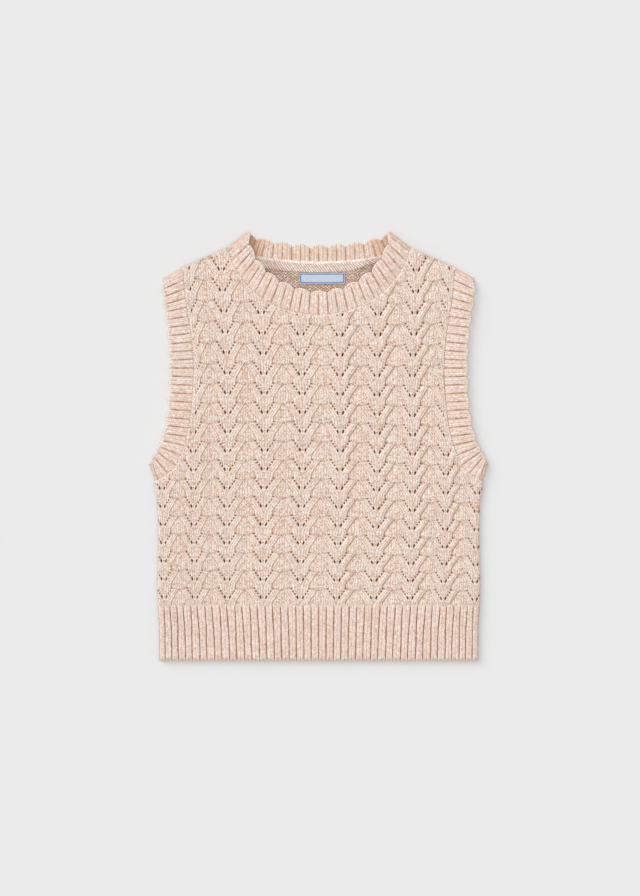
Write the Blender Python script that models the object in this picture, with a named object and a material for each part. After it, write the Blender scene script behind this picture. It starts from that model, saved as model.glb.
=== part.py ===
"""A child's sweater vest, laid flat with its front up.

X runs across the vest, Y from the hem to the neck and Z up out of the front. The origin lies on
the surface that carries the vest, in the middle of its width and of its length. The back rests
flat on that surface, and the front lies on the back. Every cloth piece is a closed wall of its
own: two panels with their hem ribs, three ribbed bands that fold over at the shoulders and under
the arms, and inside the back neck a tape and a label. Sizes are in millimetres until a finished
mesh is scaled to metres.
"""

import math
from collections import namedtuple

import bmesh
import bpy
from mathutils import Vector

MM = 0.001

# Walls, in millimetres.
SEAM_GAP = 0.3
BACK_WALL = 2.6
LAYER_GAP = 0.4
FRONT_BASE = BACK_WALL + LAYER_GAP
GROUND_WALL = 2.3
ARM_RISE = 1.1
PANEL_CHAMFER = 1.1
CUTTER_MARGIN = 0.2
MERGE_DISTANCE = 0.05

# The lace of the front: mirrored columns of V shapes, each between two of these lines.
LACE_LINES = (0.0, 37.0, 73.8, 108.5, 140.5, 172.0)
LACE_ROWS = 20
LACE_PITCH = 19.2
LACE_FOOT = -159.8
FAN_START = 77.0
FAN_LENGTH = 100.0
FAN_SPREAD = 14.0
FAN_HALF_WIDTH = 50.0
FAN_POWER = 1.6

# Hem rib. Its rows are heights and the share of its relief there.
HEM_TOP = -157.5
HEM_FOOT = -215.4
HEM_RIBS = 44
HEM_CREST = 3.5
HEM_GROOVE = 2.2
HEM_ROWS = (
    (HEM_TOP, 0.8),
    (HEM_TOP - 3.0, 1.0),
    (HEM_FOOT + 2.5, 1.0),
    (HEM_FOOT, 0.6),
)

# How finely the curves are drawn.
FINE_STEPS = 400
NECK_PAIRS = 90
STATION_STEPS = 12
ARMHOLE_SEAM_POINTS = 42
NECK_SEAM_POINTS = 20

# Ribbed bands.
RIB_CREST = 3.6
RIB_GROOVE = 2.3
RIB_RISE = 0.24
FOLD_WALL = 3.0
FOLD_STEPS = 4
ROUND_OVER = 1.6
SEAM_DIP = 0.6
INSIDE_GROOVE = 0.8
NECK_RIBS_FRONT = 24
NECK_RIBS_BACK = 16
NECK_SCALLOP = 2.8
ARM_RIBS = 24
ARM_SCALLOP = 1.7
PLAIN_STATIONS = 16

# Neck tape and label.
TRIM_WALL = 1.0
TAPE_ABOVE_SEAM = 5.4
TAPE_BELOW_SEAM = 5.8
TAPE_HALF_SPAN = 78.0
TAPE_STATIONS = 20
LABEL_SIZE = (45.0, 10.8)
LABEL_CENTRE = (3.4, 169.2)
TAPE_LIFT = TRIM_WALL + 2 * SEAM_GAP - LAYER_GAP
LIFT_START = 26.0
LIFT_END = 44.0

# A neck curve hangs from both its ends, half_width from the middle, down to its depth.
NeckCurve = namedtuple("NeckCurve", "half_width reach top depth power")
FRONT_EDGE = NeckCurve(half_width=70.8, reach=70.8, top=211.6, depth=57.1, power=1.85)
FRONT_SEAM = NeckCurve(half_width=92.0, reach=90.0, top=213.0, depth=79.5, power=2.0)
BACK_EDGE = NeckCurve(half_width=76.0, reach=70.8, top=216.66, depth=16.46, power=1.8)
BACK_SEAM = NeckCurve(half_width=97.0, reach=90.0, top=205.7, depth=24.7, power=2.0)

# The armhole band, from its fold on the shoulder down to its fold under the arm.
Station = namedtuple("Station", "seam_x seam_y edge_x edge_y")
ARMHOLE = (
    Station(135.9, 176.6, 155.2, 166.0),
    Station(134.2, 153.0, 153.6, 146.5),
    Station(130.4, 129.0, 150.4, 126.0),
    Station(126.9, 104.0, 148.2, 102.0),
    Station(125.4, 77.0, 147.6, 77.0),
    Station(126.8, 50.0, 148.2, 51.0),
    Station(129.9, 24.0, 151.2, 26.0),
    Station(135.2, 2.0, 156.4, 6.5),
    Station(144.6, -19.5, 162.4, -5.4),
    Station(161.1, -31.8, 167.2, -14.4),
)

# Half the width of the body at heights from the underarm to the foot of the hem.
SideRow = namedtuple("SideRow", "height half_width")
SIDE = (
    SideRow(-32.7, 164.4),
    SideRow(-44.0, 163.4),
    SideRow(-57.0, 161.2),
    SideRow(-76.0, 160.5),
    SideRow(-110.0, 160.9),
    SideRow(-140.0, 161.6),
    SideRow(HEM_TOP, 161.0),
    SideRow(-180.0, 159.6),
    SideRow(HEM_FOOT, 159.4),
)

YARN_COLOUR = (0.78, 0.62, 0.51, 1.0)
INSIDE_COLOUR = (0.64, 0.47, 0.37, 1.0)
LABEL_COLOUR = (0.80, 0.84, 0.90, 1.0)
YARN_ROUGHNESS = 0.9
LABEL_ROUGHNESS = 0.6
SMOOTH_ANGLE = math.radians(25.0)


def clear_scene():
    """Take away whatever the scene holds."""
    for item in list(bpy.data.objects):
        bpy.data.objects.remove(item, do_unlink=True)


def cloth_material(name, colour, roughness):
    """A plain, rough finish in one colour."""
    material = bpy.data.materials.new(name)
    material.use_nodes = True
    shader = material.node_tree.nodes["Principled BSDF"]
    shader.inputs["Base Color"].default_value = colour
    shader.inputs["Roughness"].default_value = roughness
    shader.inputs["Metallic"].default_value = 0.0
    material.diffuse_color = colour
    return material


def finish_piece(name, bm, material):
    """Turn a bmesh in millimetres into a named object in metres, its faces pointing out."""
    bmesh.ops.recalc_face_normals(bm, faces=bm.faces)
    bmesh.ops.scale(bm, vec=(MM, MM, MM), verts=bm.verts)
    mesh = bpy.data.meshes.new(name)
    bm.to_mesh(mesh)
    bm.free()
    mesh.materials.append(material)
    mesh.shade_smooth()
    mesh.set_sharp_from_angle(angle=SMOOTH_ANGLE)
    piece = bpy.data.objects.new(name, mesh)
    bpy.context.scene.collection.objects.link(piece)
    return piece


# Curves.

def smooth_step(value, start, end):
    """0 up to start, 1 from end on, and an even ease between them."""
    share = min(1.0, max(0.0, (value - start) / (end - start)))
    return share * share * (3.0 - 2.0 * share)


def neck_height(curve, x):
    """The height of a neck curve at x."""
    share = min(1.0, abs(x) / curve.half_width)
    return curve.top - curve.depth * (1.0 - share ** curve.power) ** (1.0 / curve.power)


def neck_line(curve, count):
    """Points evenly spaced along a neck curve, from left to right."""
    line = []
    for step in range(FINE_STEPS + 1):
        x = curve.reach * math.sin(math.pi * (step / FINE_STEPS - 0.5))
        line.append(Vector((x, neck_height(curve, x))))
    return even_points(line, count)


def spline_point(points, place):
    """A point on the smooth curve through the given ones; place counts them from 0."""
    last = len(points) - 1
    index = min(int(place), last - 1)
    share = place - index
    before = points[max(index - 1, 0)]
    start = points[index]
    end = points[index + 1]
    after = points[min(index + 2, last)]
    leave = (end - before) * 0.5
    arrive = (after - start) * 0.5
    square = share * share
    cube = square * share
    return (
        start * (2 * cube - 3 * square + 1)
        + leave * (cube - 2 * square + share)
        + end * (3 * square - 2 * cube)
        + arrive * (cube - square)
    )


def distances(line):
    """How far along a line each of its points lies."""
    total = 0.0
    result = [0.0]
    for start, end in zip(line, line[1:]):
        total += (end - start).length
        result.append(total)
    return result


def place_at(marks, wanted):
    """The place, counted in points, where a running distance reaches the wanted one."""
    for index in range(len(marks) - 1):
        if wanted <= marks[index + 1]:
            return index + (wanted - marks[index]) / (marks[index + 1] - marks[index])
    return float(len(marks) - 1)


def point_at(line, place):
    """The point at a place that counts the line's points."""
    index = min(int(place), len(line) - 2)
    return line[index].lerp(line[index + 1], place - index)


def even_points(line, count):
    """The line again, as count points with the same distance between them."""
    marks = distances(line)
    length = marks[-1]
    return [point_at(line, place_at(marks, length * step / (count - 1))) for step in range(count)]


def offset_line(line, distance):
    """The line moved to its own left."""
    moved = []
    for index, point in enumerate(line):
        ahead = line[min(index + 1, len(line) - 1)]
        behind = line[max(index - 1, 0)]
        direction = (ahead - behind).normalized()
        moved.append(point + Vector((-direction.y, direction.x)) * distance)
    return moved


def mirrored(line):
    """The line on the other side of the vest, running the other way."""
    return [Vector((-point.x, point.y)) for point in reversed(line)]


def half_width_at(height):
    """Half the width of the body at a height, from the table of the side."""
    for upper, lower in zip(SIDE, SIDE[1:]):
        if height >= lower.height:
            share = (upper.height - height) / (upper.height - lower.height)
            return upper.half_width + (lower.half_width - upper.half_width) * max(0.0, share)
    return SIDE[-1].half_width


# Bands. A strip is a list of (edge, seam) pairs of points across a band.

def neck_strip(edge_curve, seam_curve):
    """The neckband's front or back from left to right."""
    return list(zip(neck_line(edge_curve, NECK_PAIRS), neck_line(seam_curve, NECK_PAIRS)))


def armhole_strip():
    """The right armhole band from the shoulder to the underarm."""
    edges = [Vector((row.edge_x, row.edge_y)) for row in ARMHOLE]
    seams = [Vector((row.seam_x, row.seam_y)) for row in ARMHOLE]
    steps = (len(ARMHOLE) - 1) * STATION_STEPS
    places = [step / STATION_STEPS for step in range(steps + 1)]
    return [(spline_point(edges, place), spline_point(seams, place)) for place in places]


def strip_pair(strip, marks, share):
    """The edge and the seam point at a share of the length of the band's middle line."""
    place = place_at(marks, marks[-1] * share)
    index = min(int(place), len(strip) - 2)
    part = place - index
    edge = strip[index][0].lerp(strip[index + 1][0], part)
    seam = strip[index][1].lerp(strip[index + 1][1], part)
    return edge, seam


def middle_marks(strip):
    """Running distances along the middle of a strip."""
    return distances([edge.lerp(seam, 0.5) for edge, seam in strip])


def fold_direction(strip):
    """The way that a strip runs on past its last pair, square to that pair."""
    edge, seam = strip[-1]
    across = (seam - edge).normalized()
    square = Vector((-across.y, across.x))
    onward = edge.lerp(seam, 0.5) - strip[-2][0].lerp(strip[-2][1], 0.5)
    return square if square.dot(onward) > 0.0 else -square


def band_section(edge, seam, normal, lift, outer, inner, scallop):
    """One cut across a band. outer and inner are how far its faces lie from the inside layer.

    The cut turns with its normal round a line midway between the two layers, so the same
    section serves the front, the fold and the back.
    """
    radius = (LAYER_GAP + lift) / 2
    axis_height = BACK_WALL + radius
    width = (seam - edge).length
    tip = -scallop / width
    round_over = ROUND_OVER / width
    profile = (
        (tip, (outer + inner) * 0.5),
        (tip + round_over, outer),
        (1.0 - round_over, outer),
        (1.0, outer - SEAM_DIP),
        (1.0, inner),
        (tip + round_over, inner),
    )
    points = []
    for across, height in profile:
        flat = edge.lerp(seam, across)
        points.append(Vector((flat.x, flat.y, axis_height)) + normal * (radius + height))
    return points


def rib_stations(ribs):
    """(share of the band's length, rib number with its part, whether it is a crest)."""
    stations = []
    for rib in range(ribs):
        stations.append((rib / ribs, float(rib), False))
        stations.append(((rib + RIB_RISE) / ribs, rib + RIB_RISE, True))
        stations.append(((rib + 1 - RIB_RISE) / ribs, rib + 1 - RIB_RISE, True))
    stations.append((1.0, float(ribs), False))
    return stations


def ribbed_run(strip, ribs, scallop, lift_at, phase):
    """Sections along the front of a band: raised ribs, two to each scallop of its edge."""
    up = Vector((0.0, 0.0, 1.0))
    marks = middle_marks(strip)
    sections = []
    for share, rib, crest in rib_stations(ribs):
        edge, seam = strip_pair(strip, marks, share)
        outer = RIB_CREST if crest else RIB_GROOVE
        bulge = scallop * abs(math.sin(math.pi * (rib + phase) / 2))
        sections.append(band_section(edge, seam, up, lift_at(edge), outer, 0.0, bulge))
    return sections


def ribbed_inside_run(strip, ribs, scallop, lift, phase):
    """Sections along the back of the neck: flat below, with the ribs of its inside showing."""
    down = Vector((0.0, 0.0, -1.0))
    marks = middle_marks(strip)
    sections = []
    for share, rib, crest in rib_stations(ribs):
        edge, seam = strip_pair(strip, marks, share)
        inner = 0.0 if crest else INSIDE_GROOVE
        bulge = scallop * abs(math.sin(math.pi * (rib + phase) / 2))
        sections.append(band_section(edge, seam, down, lift, BACK_WALL, inner, bulge))
    return sections


def plain_run(strip):
    """Sections along the back of an armhole band, which lies hidden and flat."""
    down = Vector((0.0, 0.0, -1.0))
    marks = middle_marks(strip)
    sections = []
    for step in range(PLAIN_STATIONS + 1):
        edge, seam = strip_pair(strip, marks, step / PLAIN_STATIONS)
        sections.append(band_section(edge, seam, down, 0.0, BACK_WALL, 0.0, 0.0))
    return sections


def fold_run(strip, lift, scallop, from_front):
    """Sections that turn a band over at the end of a strip, from one layer to the other."""
    edge, seam = strip[-1]
    outward = fold_direction(strip)
    sections = []
    for step in range(1, FOLD_STEPS):
        angle = math.pi * step / FOLD_STEPS
        if not from_front:
            angle = math.pi - angle
        side = math.sin(angle)
        normal = Vector((outward.x * side, outward.y * side, math.cos(angle)))
        sections.append(band_section(edge, seam, normal, lift, FOLD_WALL, 0.0, scallop))
    return sections


def ring_mesh(sections):
    """A closed ring through the sections, the last one joined to the first."""
    bm = bmesh.new()
    loops = [[bm.verts.new(point) for point in section] for section in sections]
    for loop, following in zip(loops, loops[1:] + loops[:1]):
        for index in range(len(loop)):
            after = (index + 1) % len(loop)
            bm.faces.new((loop[index], loop[after], following[after], following[index]))
    return bm


def neck_lift(edge):
    """How far the front of the neckband is raised where it lies over the neck tape."""
    return TAPE_LIFT * smooth_step(abs(edge.x), LIFT_START, LIFT_END)


def neckband(material):
    """The neckband: a ring that folds over at both shoulders."""
    front = neck_strip(FRONT_EDGE, FRONT_SEAM)
    back = neck_strip(BACK_EDGE, BACK_SEAM)
    back.reverse()
    sections = ribbed_run(front, NECK_RIBS_FRONT, NECK_SCALLOP, neck_lift, 1.0)
    sections += fold_run(front, TAPE_LIFT, NECK_SCALLOP, True)
    sections += ribbed_inside_run(back, NECK_RIBS_BACK, NECK_SCALLOP, TAPE_LIFT, 1.0)
    front.reverse()
    sections += fold_run(front, TAPE_LIFT, NECK_SCALLOP, False)
    return finish_piece("neckband", ring_mesh(sections), material)


def armhole_band(name, side, material):
    """An armhole band: a ring that folds over on the shoulder and under the arm."""
    strip = armhole_strip()
    sections = ribbed_run(strip, ARM_RIBS, ARM_SCALLOP, lambda edge: 0.0, 0.0)
    sections += fold_run(strip, 0.0, 0.0, True)
    strip.reverse()
    sections += plain_run(strip)
    sections += fold_run(strip, 0.0, 0.0, False)
    bm = ring_mesh(sections)
    bmesh.ops.scale(bm, vec=(side, 1.0, 1.0), verts=bm.verts)
    return finish_piece(name, bm, material)


# Panels.

def fold_reach(lift):
    """How far a folded band reaches past the last pair of its strip."""
    return (LAYER_GAP + lift) / 2 + FOLD_WALL


def armhole_seam():
    """The line of the right armhole seam from the underarm side up to the shoulder."""
    strip = armhole_strip()
    shoulder = strip[0][1] + fold_direction(list(reversed(strip))) * fold_reach(0.0)
    underarm = strip[-1][1] + fold_direction(strip) * fold_reach(0.0)
    seam = even_points([seam for edge, seam in strip], ARMHOLE_SEAM_POINTS)
    return [underarm] + list(reversed(seam)) + [shoulder]


def neck_seam(strip):
    """The right half of a neck seam, from the shoulder down to the middle of the neck."""
    half = strip[len(strip) // 2:]
    end = half[-1][1] + fold_direction(strip) * fold_reach(TAPE_LIFT)
    middle = Vector((0.0, half[0][1].y))
    seam = even_points([middle] + [seam for edge, seam in half], NECK_SEAM_POINTS)
    return [end] + list(reversed(seam))


def side_line(top, foot):
    """The right side of the body between two heights, from the foot up."""
    heights = [foot] + [row.height for row in reversed(SIDE) if foot < row.height < top] + [top]
    return [Vector((half_width_at(height), height)) for height in heights]


def panel_outline(neck):
    """The outline of a panel, a seam's gap clear of its neckband, armhole bands and hem rib."""
    armhole = offset_line(armhole_seam(), SEAM_GAP)
    right = side_line(SIDE[0].height, HEM_TOP + SEAM_GAP)[:-1]
    right += armhole
    right += offset_line(neck_seam(neck), SEAM_GAP)
    return right + mirrored(right)[1:]


def slab(outline, low, high):
    """A flat plate with the given outline."""
    bm = bmesh.new()
    base = bm.faces.new([bm.verts.new((point.x, point.y, low)) for point in outline])
    grown = bmesh.ops.extrude_face_region(bm, geom=[base])
    top = [item for item in grown["geom"] if isinstance(item, bmesh.types.BMVert)]
    bmesh.ops.translate(bm, vec=(0.0, 0.0, high - low), verts=top)
    bmesh.ops.recalc_face_normals(bm, faces=bm.faces)
    return bm


def chamfer_rim(bm, height, width):
    """Take the corner off all edges that lie at one height."""
    rim = [
        edge for edge in bm.edges
        if all(abs(vert.co.z - height) < 1e-4 for vert in edge.verts)
    ]
    bmesh.ops.bevel(
        bm, geom=rim, offset=width, offset_type="OFFSET", segments=1,
        profile=0.5, affect="EDGES", clamp_overlap=True, material=-1,
    )


def back_panel(material):
    """The back: a flat wall with the higher neck."""
    outline = panel_outline(neck_strip(BACK_EDGE, BACK_SEAM))
    return finish_piece("back_panel", slab(outline, 0.0, BACK_WALL), material)


# One half of a V of the lace, from the line through its point (across 0) to the line between
# two columns (across 1), and from one lace row's foot (along 0) to the next (along 1). The
# level is its share of the arms' rise.
LacePoint = namedtuple("LacePoint", "across along level")
LACE_POINTS = {
    "foot_middle": LacePoint(0.0, 0.0, 0.45),
    "foot_stem": LacePoint(0.42, 0.0, 0.35),
    "foot_side": LacePoint(1.0, 0.0, 0.4),
    "stem_middle": LacePoint(0.0, 0.12, 1.0),
    "stem_side": LacePoint(0.38, 0.12, 1.0),
    "wedge_foot": LacePoint(0.51, 0.12, 0.0),
    "wedge_side": LacePoint(1.0, 0.12, 0.35),
    "crotch": LacePoint(0.0, 0.42, 1.0),
    "gusset_point": LacePoint(0.0, 0.56, 0.0),
    "gusset_middle": LacePoint(0.0, 0.9, 0.3),
    "gusset_side": LacePoint(0.46, 0.9, 0.0),
    "arm_inner": LacePoint(0.56, 0.9, 1.0),
    "arm_outer": LacePoint(0.87, 0.9, 1.0),
    "wedge_top": LacePoint(1.0, 0.9, 0.1),
    "next_middle": LacePoint(0.0, 1.0, 0.45),
    "next_stem": LacePoint(0.42, 1.0, 0.35),
    "next_side": LacePoint(1.0, 1.0, 0.4),
}
LACE_FACES = (
    ("foot_middle", "foot_stem", "stem_side", "stem_middle"),
    ("foot_stem", "wedge_foot", "stem_side"),
    ("foot_stem", "foot_side", "wedge_side", "wedge_foot"),
    ("stem_middle", "stem_side", "arm_outer", "arm_inner", "crotch"),
    ("stem_side", "wedge_foot", "wedge_top", "arm_outer"),
    ("wedge_foot", "wedge_side", "wedge_top"),
    ("crotch", "arm_inner", "gusset_side", "gusset_point"),
    ("gusset_point", "gusset_side", "gusset_middle"),
    ("gusset_middle", "gusset_side", "next_stem", "next_middle"),
    ("gusset_side", "arm_inner", "next_stem"),
    ("arm_inner", "arm_outer", "next_side", "next_stem"),
    ("arm_outer", "wedge_top", "next_side"),
)


def fanned(x, y):
    """Where the lace moves outwards beside the neck."""
    rise = max(0.0, (y - FAN_START) / FAN_LENGTH)
    side = max(-1.0, min(1.0, x / FAN_HALF_WIDTH))
    return x + FAN_SPREAD * side * rise ** FAN_POWER


def half_lace(bm, middle, side, row):
    """One half of one V between its middle line and its side line."""
    foot = LACE_FOOT + row * LACE_PITCH
    verts = {}
    for name, point in LACE_POINTS.items():
        x = middle + (side - middle) * point.across
        y = foot + LACE_PITCH * point.along
        z = FRONT_BASE + GROUND_WALL + ARM_RISE * point.level
        verts[name] = bm.verts.new((fanned(x, y), y, z))
    for names in LACE_FACES:
        bm.faces.new([verts[name] for name in names])


def lace_sheet():
    """A closed sheet with the lace's relief on top, larger than the front that is cut from it."""
    bm = bmesh.new()
    for near, far in zip(LACE_LINES, LACE_LINES[1:]):
        middle = (near + far) / 2
        for row in range(LACE_ROWS):
            for direction in (-1.0, 1.0):
                for side in (near, far):
                    half_lace(bm, direction * middle, direction * side, row)
    bmesh.ops.remove_doubles(bm, verts=bm.verts, dist=MERGE_DISTANCE)
    rim = [edge for edge in bm.edges if edge.is_boundary]
    grown = bmesh.ops.extrude_edge_only(bm, edges=rim)
    low = [item for item in grown["geom"] if isinstance(item, bmesh.types.BMVert)]
    for vert in low:
        vert.co.z = FRONT_BASE
    rim = [edge for edge in bm.edges if edge.is_boundary]
    bmesh.ops.contextual_create(bm, geom=rim)
    return bm


def front_panel(material):
    """The front: the lace sheet, cut to the outline of the front with its upper rim eased."""
    panel = finish_piece("front_panel", lace_sheet(), material)
    outline = panel_outline(neck_strip(FRONT_EDGE, FRONT_SEAM))
    top = FRONT_BASE + GROUND_WALL + ARM_RISE + CUTTER_MARGIN
    shape = slab(outline, FRONT_BASE - CUTTER_MARGIN, top)
    chamfer_rim(shape, top, PANEL_CHAMFER)
    cutter = finish_piece("front_outline", shape, material)
    cutter.hide_render = True
    cutter.display_type = "WIRE"
    cut = panel.modifiers.new("outline", "BOOLEAN")
    cut.operation = "INTERSECT"
    cut.solver = "EXACT"
    cut.object = cutter
    return panel


# Hem ribs.

def comb_profile(half_width, crest, groove):
    """Points across a ribbed strip, left to right, as pairs of place and height."""
    pitch = 2 * half_width / HEM_RIBS
    profile = [(-half_width, groove * 0.5)]
    for rib in range(HEM_RIBS):
        start = -half_width + rib * pitch
        if rib:
            profile.append((start, groove))
        profile.append((start + RIB_RISE * pitch, crest))
        profile.append((start + (1 - RIB_RISE) * pitch, crest))
    profile.append((half_width, groove * 0.5))
    return profile


def front_hem_rib(material):
    """The front hem rib: upright ribs over a plain inside, eased at its top and its foot."""
    bm = bmesh.new()
    loops = []
    for height, share in HEM_ROWS:
        half_width = half_width_at(height)
        profile = comb_profile(half_width, HEM_CREST * share, HEM_GROOVE * share)
        loop = [bm.verts.new((x, height, FRONT_BASE + z)) for x, z in profile]
        loop.append(bm.verts.new((half_width, height, FRONT_BASE)))
        loop.append(bm.verts.new((-half_width, height, FRONT_BASE)))
        loops.append(loop)
    for loop, following in zip(loops, loops[1:]):
        for index in range(len(loop)):
            after = (index + 1) % len(loop)
            bm.faces.new((loop[index], loop[after], following[after], following[index]))
    bm.faces.new(loops[0])
    bm.faces.new(loops[-1])
    return finish_piece("front_hem_rib", bm, material)


def back_hem_rib(material):
    """The back hem rib, which lies hidden and flat."""
    right = side_line(HEM_TOP, HEM_FOOT)
    return finish_piece("back_hem_rib", slab(right + mirrored(right), 0.0, BACK_WALL), material)


# Trim inside the back neck.

def neck_tape(material):
    """A strip over the back neck seam, on the inside of the back."""
    low = BACK_WALL + SEAM_GAP
    upper = []
    lower = []
    for step in range(TAPE_STATIONS + 1):
        x = TAPE_HALF_SPAN * (1 - 2 * step / TAPE_STATIONS)
        seam = neck_height(BACK_SEAM, x)
        upper.append(Vector((x, seam + TAPE_ABOVE_SEAM)))
        lower.append(Vector((x, seam - TAPE_BELOW_SEAM)))
    outline = upper + list(reversed(lower))
    return finish_piece("neck_tape", slab(outline, low, low + TRIM_WALL), material)


def neck_label(material):
    """A small woven label that hangs from the lower edge of the tape."""
    low = BACK_WALL + SEAM_GAP
    half_width = LABEL_SIZE[0] / 2
    half_height = LABEL_SIZE[1] / 2
    corners = ((1, 1), (-1, 1), (-1, -1), (1, -1))
    outline = [
        Vector((LABEL_CENTRE[0] + half_width * x, LABEL_CENTRE[1] + half_height * y))
        for x, y in corners
    ]
    return finish_piece("neck_label", slab(outline, low, low + TRIM_WALL), material)


def build_vest():
    """Build every piece of the vest."""
    clear_scene()
    yarn = cloth_material("lace_knit", YARN_COLOUR, YARN_ROUGHNESS)
    rib = cloth_material("rib_knit", YARN_COLOUR, YARN_ROUGHNESS)
    inside = cloth_material("knit_inside", INSIDE_COLOUR, YARN_ROUGHNESS)
    woven = cloth_material("woven_label", LABEL_COLOUR, LABEL_ROUGHNESS)
    back_panel(inside)
    back_hem_rib(rib)
    front_panel(yarn)
    front_hem_rib(rib)
    neckband(rib)
    armhole_band("armhole_band_right", 1.0, rib)
    armhole_band("armhole_band_left", -1.0, rib)
    neck_tape(inside)
    neck_label(woven)


build_vest()
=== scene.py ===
# %% [markdown]
# # A child's openwork sweater vest, laid flat
#
# The real vest is knitted from a soft, marled yarn. Its front carries columns of nested V shapes
# with small holes between them, its hem, neck and armholes are ribbed, and the ribbed bands end in
# small scallops. We dress a plain model of it, which holds the sizes, piece by piece: each knitted
# piece gets a fine surface of its own, and one set of yarn materials covers them all.

# %% Load the plain model and note its size
import math
from collections import namedtuple

import bmesh
import bpy
import numpy as np
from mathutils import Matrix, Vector


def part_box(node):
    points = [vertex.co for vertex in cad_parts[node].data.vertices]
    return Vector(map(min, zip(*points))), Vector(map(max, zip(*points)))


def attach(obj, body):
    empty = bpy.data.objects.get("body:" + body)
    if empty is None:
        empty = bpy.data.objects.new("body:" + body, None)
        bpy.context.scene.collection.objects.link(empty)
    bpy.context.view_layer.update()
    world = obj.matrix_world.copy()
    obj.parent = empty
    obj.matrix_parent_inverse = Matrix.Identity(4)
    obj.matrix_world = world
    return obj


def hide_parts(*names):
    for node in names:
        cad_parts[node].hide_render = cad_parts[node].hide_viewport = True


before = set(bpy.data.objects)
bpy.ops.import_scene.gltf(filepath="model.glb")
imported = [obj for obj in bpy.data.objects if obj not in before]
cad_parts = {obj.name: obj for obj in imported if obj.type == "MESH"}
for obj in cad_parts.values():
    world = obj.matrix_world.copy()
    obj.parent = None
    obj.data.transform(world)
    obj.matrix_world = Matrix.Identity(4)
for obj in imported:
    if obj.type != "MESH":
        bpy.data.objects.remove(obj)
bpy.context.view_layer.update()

# %% [markdown]
# ## Sizes and smooth steps
#
# Knitting is drawn in millimetres here and scaled to metres when a piece is finished. Most shapes
# need a value that eases from 0 to 1, such as cloth that rounds down towards its edge, so we make
# one helper for it that works on whole arrays of points at once.

# %% Sizes shared by all pieces
MM = 0.001
BACK_WALL = 2.6
LAYER_GAP = 0.4
FRONT_BASE = BACK_WALL + LAYER_GAP
HEM_TOP = -157.5
HEM_FOOT = -213.5


def ease(value, start, end):
    """0 up to start, 1 from end on, and an even ease between them."""
    share = np.clip((np.asarray(value, dtype=float) - start) / (end - start), 0.0, 1.0)
    return share * share * (3.0 - 2.0 * share)


def mix(first, second, share):
    """first where share is 0, second where it is 1."""
    return first + (second - first) * share


def round_over(away, reach, least):
    """How high cloth stands, as a share, where it turns down like a quarter circle to its side."""
    turn = np.clip(away / reach, 0.0, 1.0)
    return np.maximum(np.sqrt(1.0 - (1.0 - turn) ** 2), least)


def net(first, second):
    """Two rows of numbers as the columns and rows of one net."""
    return np.meshgrid(first, second, indexing="ij")


front_box = [tuple(round(value / MM, 1) for value in corner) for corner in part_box("front_panel")]
print("front panel box, mm:", front_box)

# %% [markdown]
# ## The cut of the vest
#
# A knitter blocks the pieces to a drawing. Ours is a few curves: the neck hangs like a rounded U
# between the shoulders, front and back, and the armhole is a smooth curve through measured points.
# The same curves place the panels, the bands and the trim, so they always meet.

# %% Neck curves
NeckCurve = namedtuple("NeckCurve", "half_width reach top depth power")
FRONT_EDGE = NeckCurve(half_width=70.8, reach=70.8, top=211.6, depth=57.1, power=1.85)
FRONT_SEAM = NeckCurve(half_width=92.0, reach=90.0, top=213.0, depth=79.5, power=2.0)
BACK_EDGE = NeckCurve(half_width=76.0, reach=70.8, top=216.66, depth=16.46, power=1.8)
BACK_SEAM = NeckCurve(half_width=97.0, reach=90.0, top=205.7, depth=24.7, power=2.0)


def neck_height(curve, x):
    """The height of a neck curve at x."""
    share = np.minimum(1.0, np.abs(x) / curve.half_width)
    return curve.top - curve.depth * (1.0 - share ** curve.power) ** (1.0 / curve.power)


def distances(line):
    """How far along a line each of its points lies."""
    steps = np.linalg.norm(np.diff(line, axis=0), axis=1)
    return np.concatenate(([0.0], np.cumsum(steps)))


def points_at(line, marks, wanted):
    """Points of a line at wanted distances, where marks says how far along its own points lie."""
    return np.stack([np.interp(wanted, marks, line[:, axis]) for axis in (0, 1)], axis=1)


def even_points(line, count):
    """The line again, as count points with the same distance between them."""
    marks = distances(line)
    return points_at(line, marks, np.linspace(0.0, marks[-1], count))


def neck_line(curve, count=240):
    """Points evenly spaced along a neck curve, from left to right."""
    x = curve.reach * np.sin(np.linspace(-0.5, 0.5, 600) * math.pi)
    return even_points(np.stack([x, neck_height(curve, x)], axis=1), count)


print("front neck seam, mm:", round(float(distances(neck_line(FRONT_SEAM))[-1]), 1))

# %% Armhole and side
# A row goes straight across the band: x and y of its seam, then x and y of its scalloped edge.
ARMHOLE = np.array((
    (135.9, 176.6, 155.2, 166.0),
    (134.2, 153.0, 153.6, 146.5),
    (130.4, 129.0, 150.4, 126.0),
    (126.9, 104.0, 148.2, 102.0),
    (125.4, 77.0, 147.6, 77.0),
    (126.8, 50.0, 148.2, 51.0),
    (129.9, 24.0, 151.2, 26.0),
    (135.2, 2.0, 156.4, 6.5),
    (144.6, -19.5, 162.4, -5.4),
    (161.1, -31.8, 167.2, -14.4),
))
SIDE_HEIGHTS = (-215.4, -180.0, -157.5, -140.0, -110.0, -76.0, -57.0, -44.0, -32.7)
SIDE_HALF_WIDTHS = (159.4, 159.6, 161.0, 161.6, 160.9, 160.5, 161.2, 163.4, 164.4)


def smooth_line(points, steps=16):
    """A smooth curve through points, with the same number of steps between each two."""
    padded = np.concatenate((points[:1], points, points[-1:]))
    share = (np.arange(steps) / steps)[:, None]
    pieces = []
    for before, start, end, after in zip(padded, padded[1:], padded[2:], padded[3:]):
        leave = (end - before) * 0.5
        arrive = (after - start) * 0.5
        pieces.append(
            start * (2 * share ** 3 - 3 * share ** 2 + 1)
            + leave * (share ** 3 - 2 * share ** 2 + share)
            + end * (3 * share ** 2 - 2 * share ** 3)
            + arrive * (share ** 3 - share ** 2)
        )
    return np.concatenate(pieces + [points[-1:]])


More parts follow.
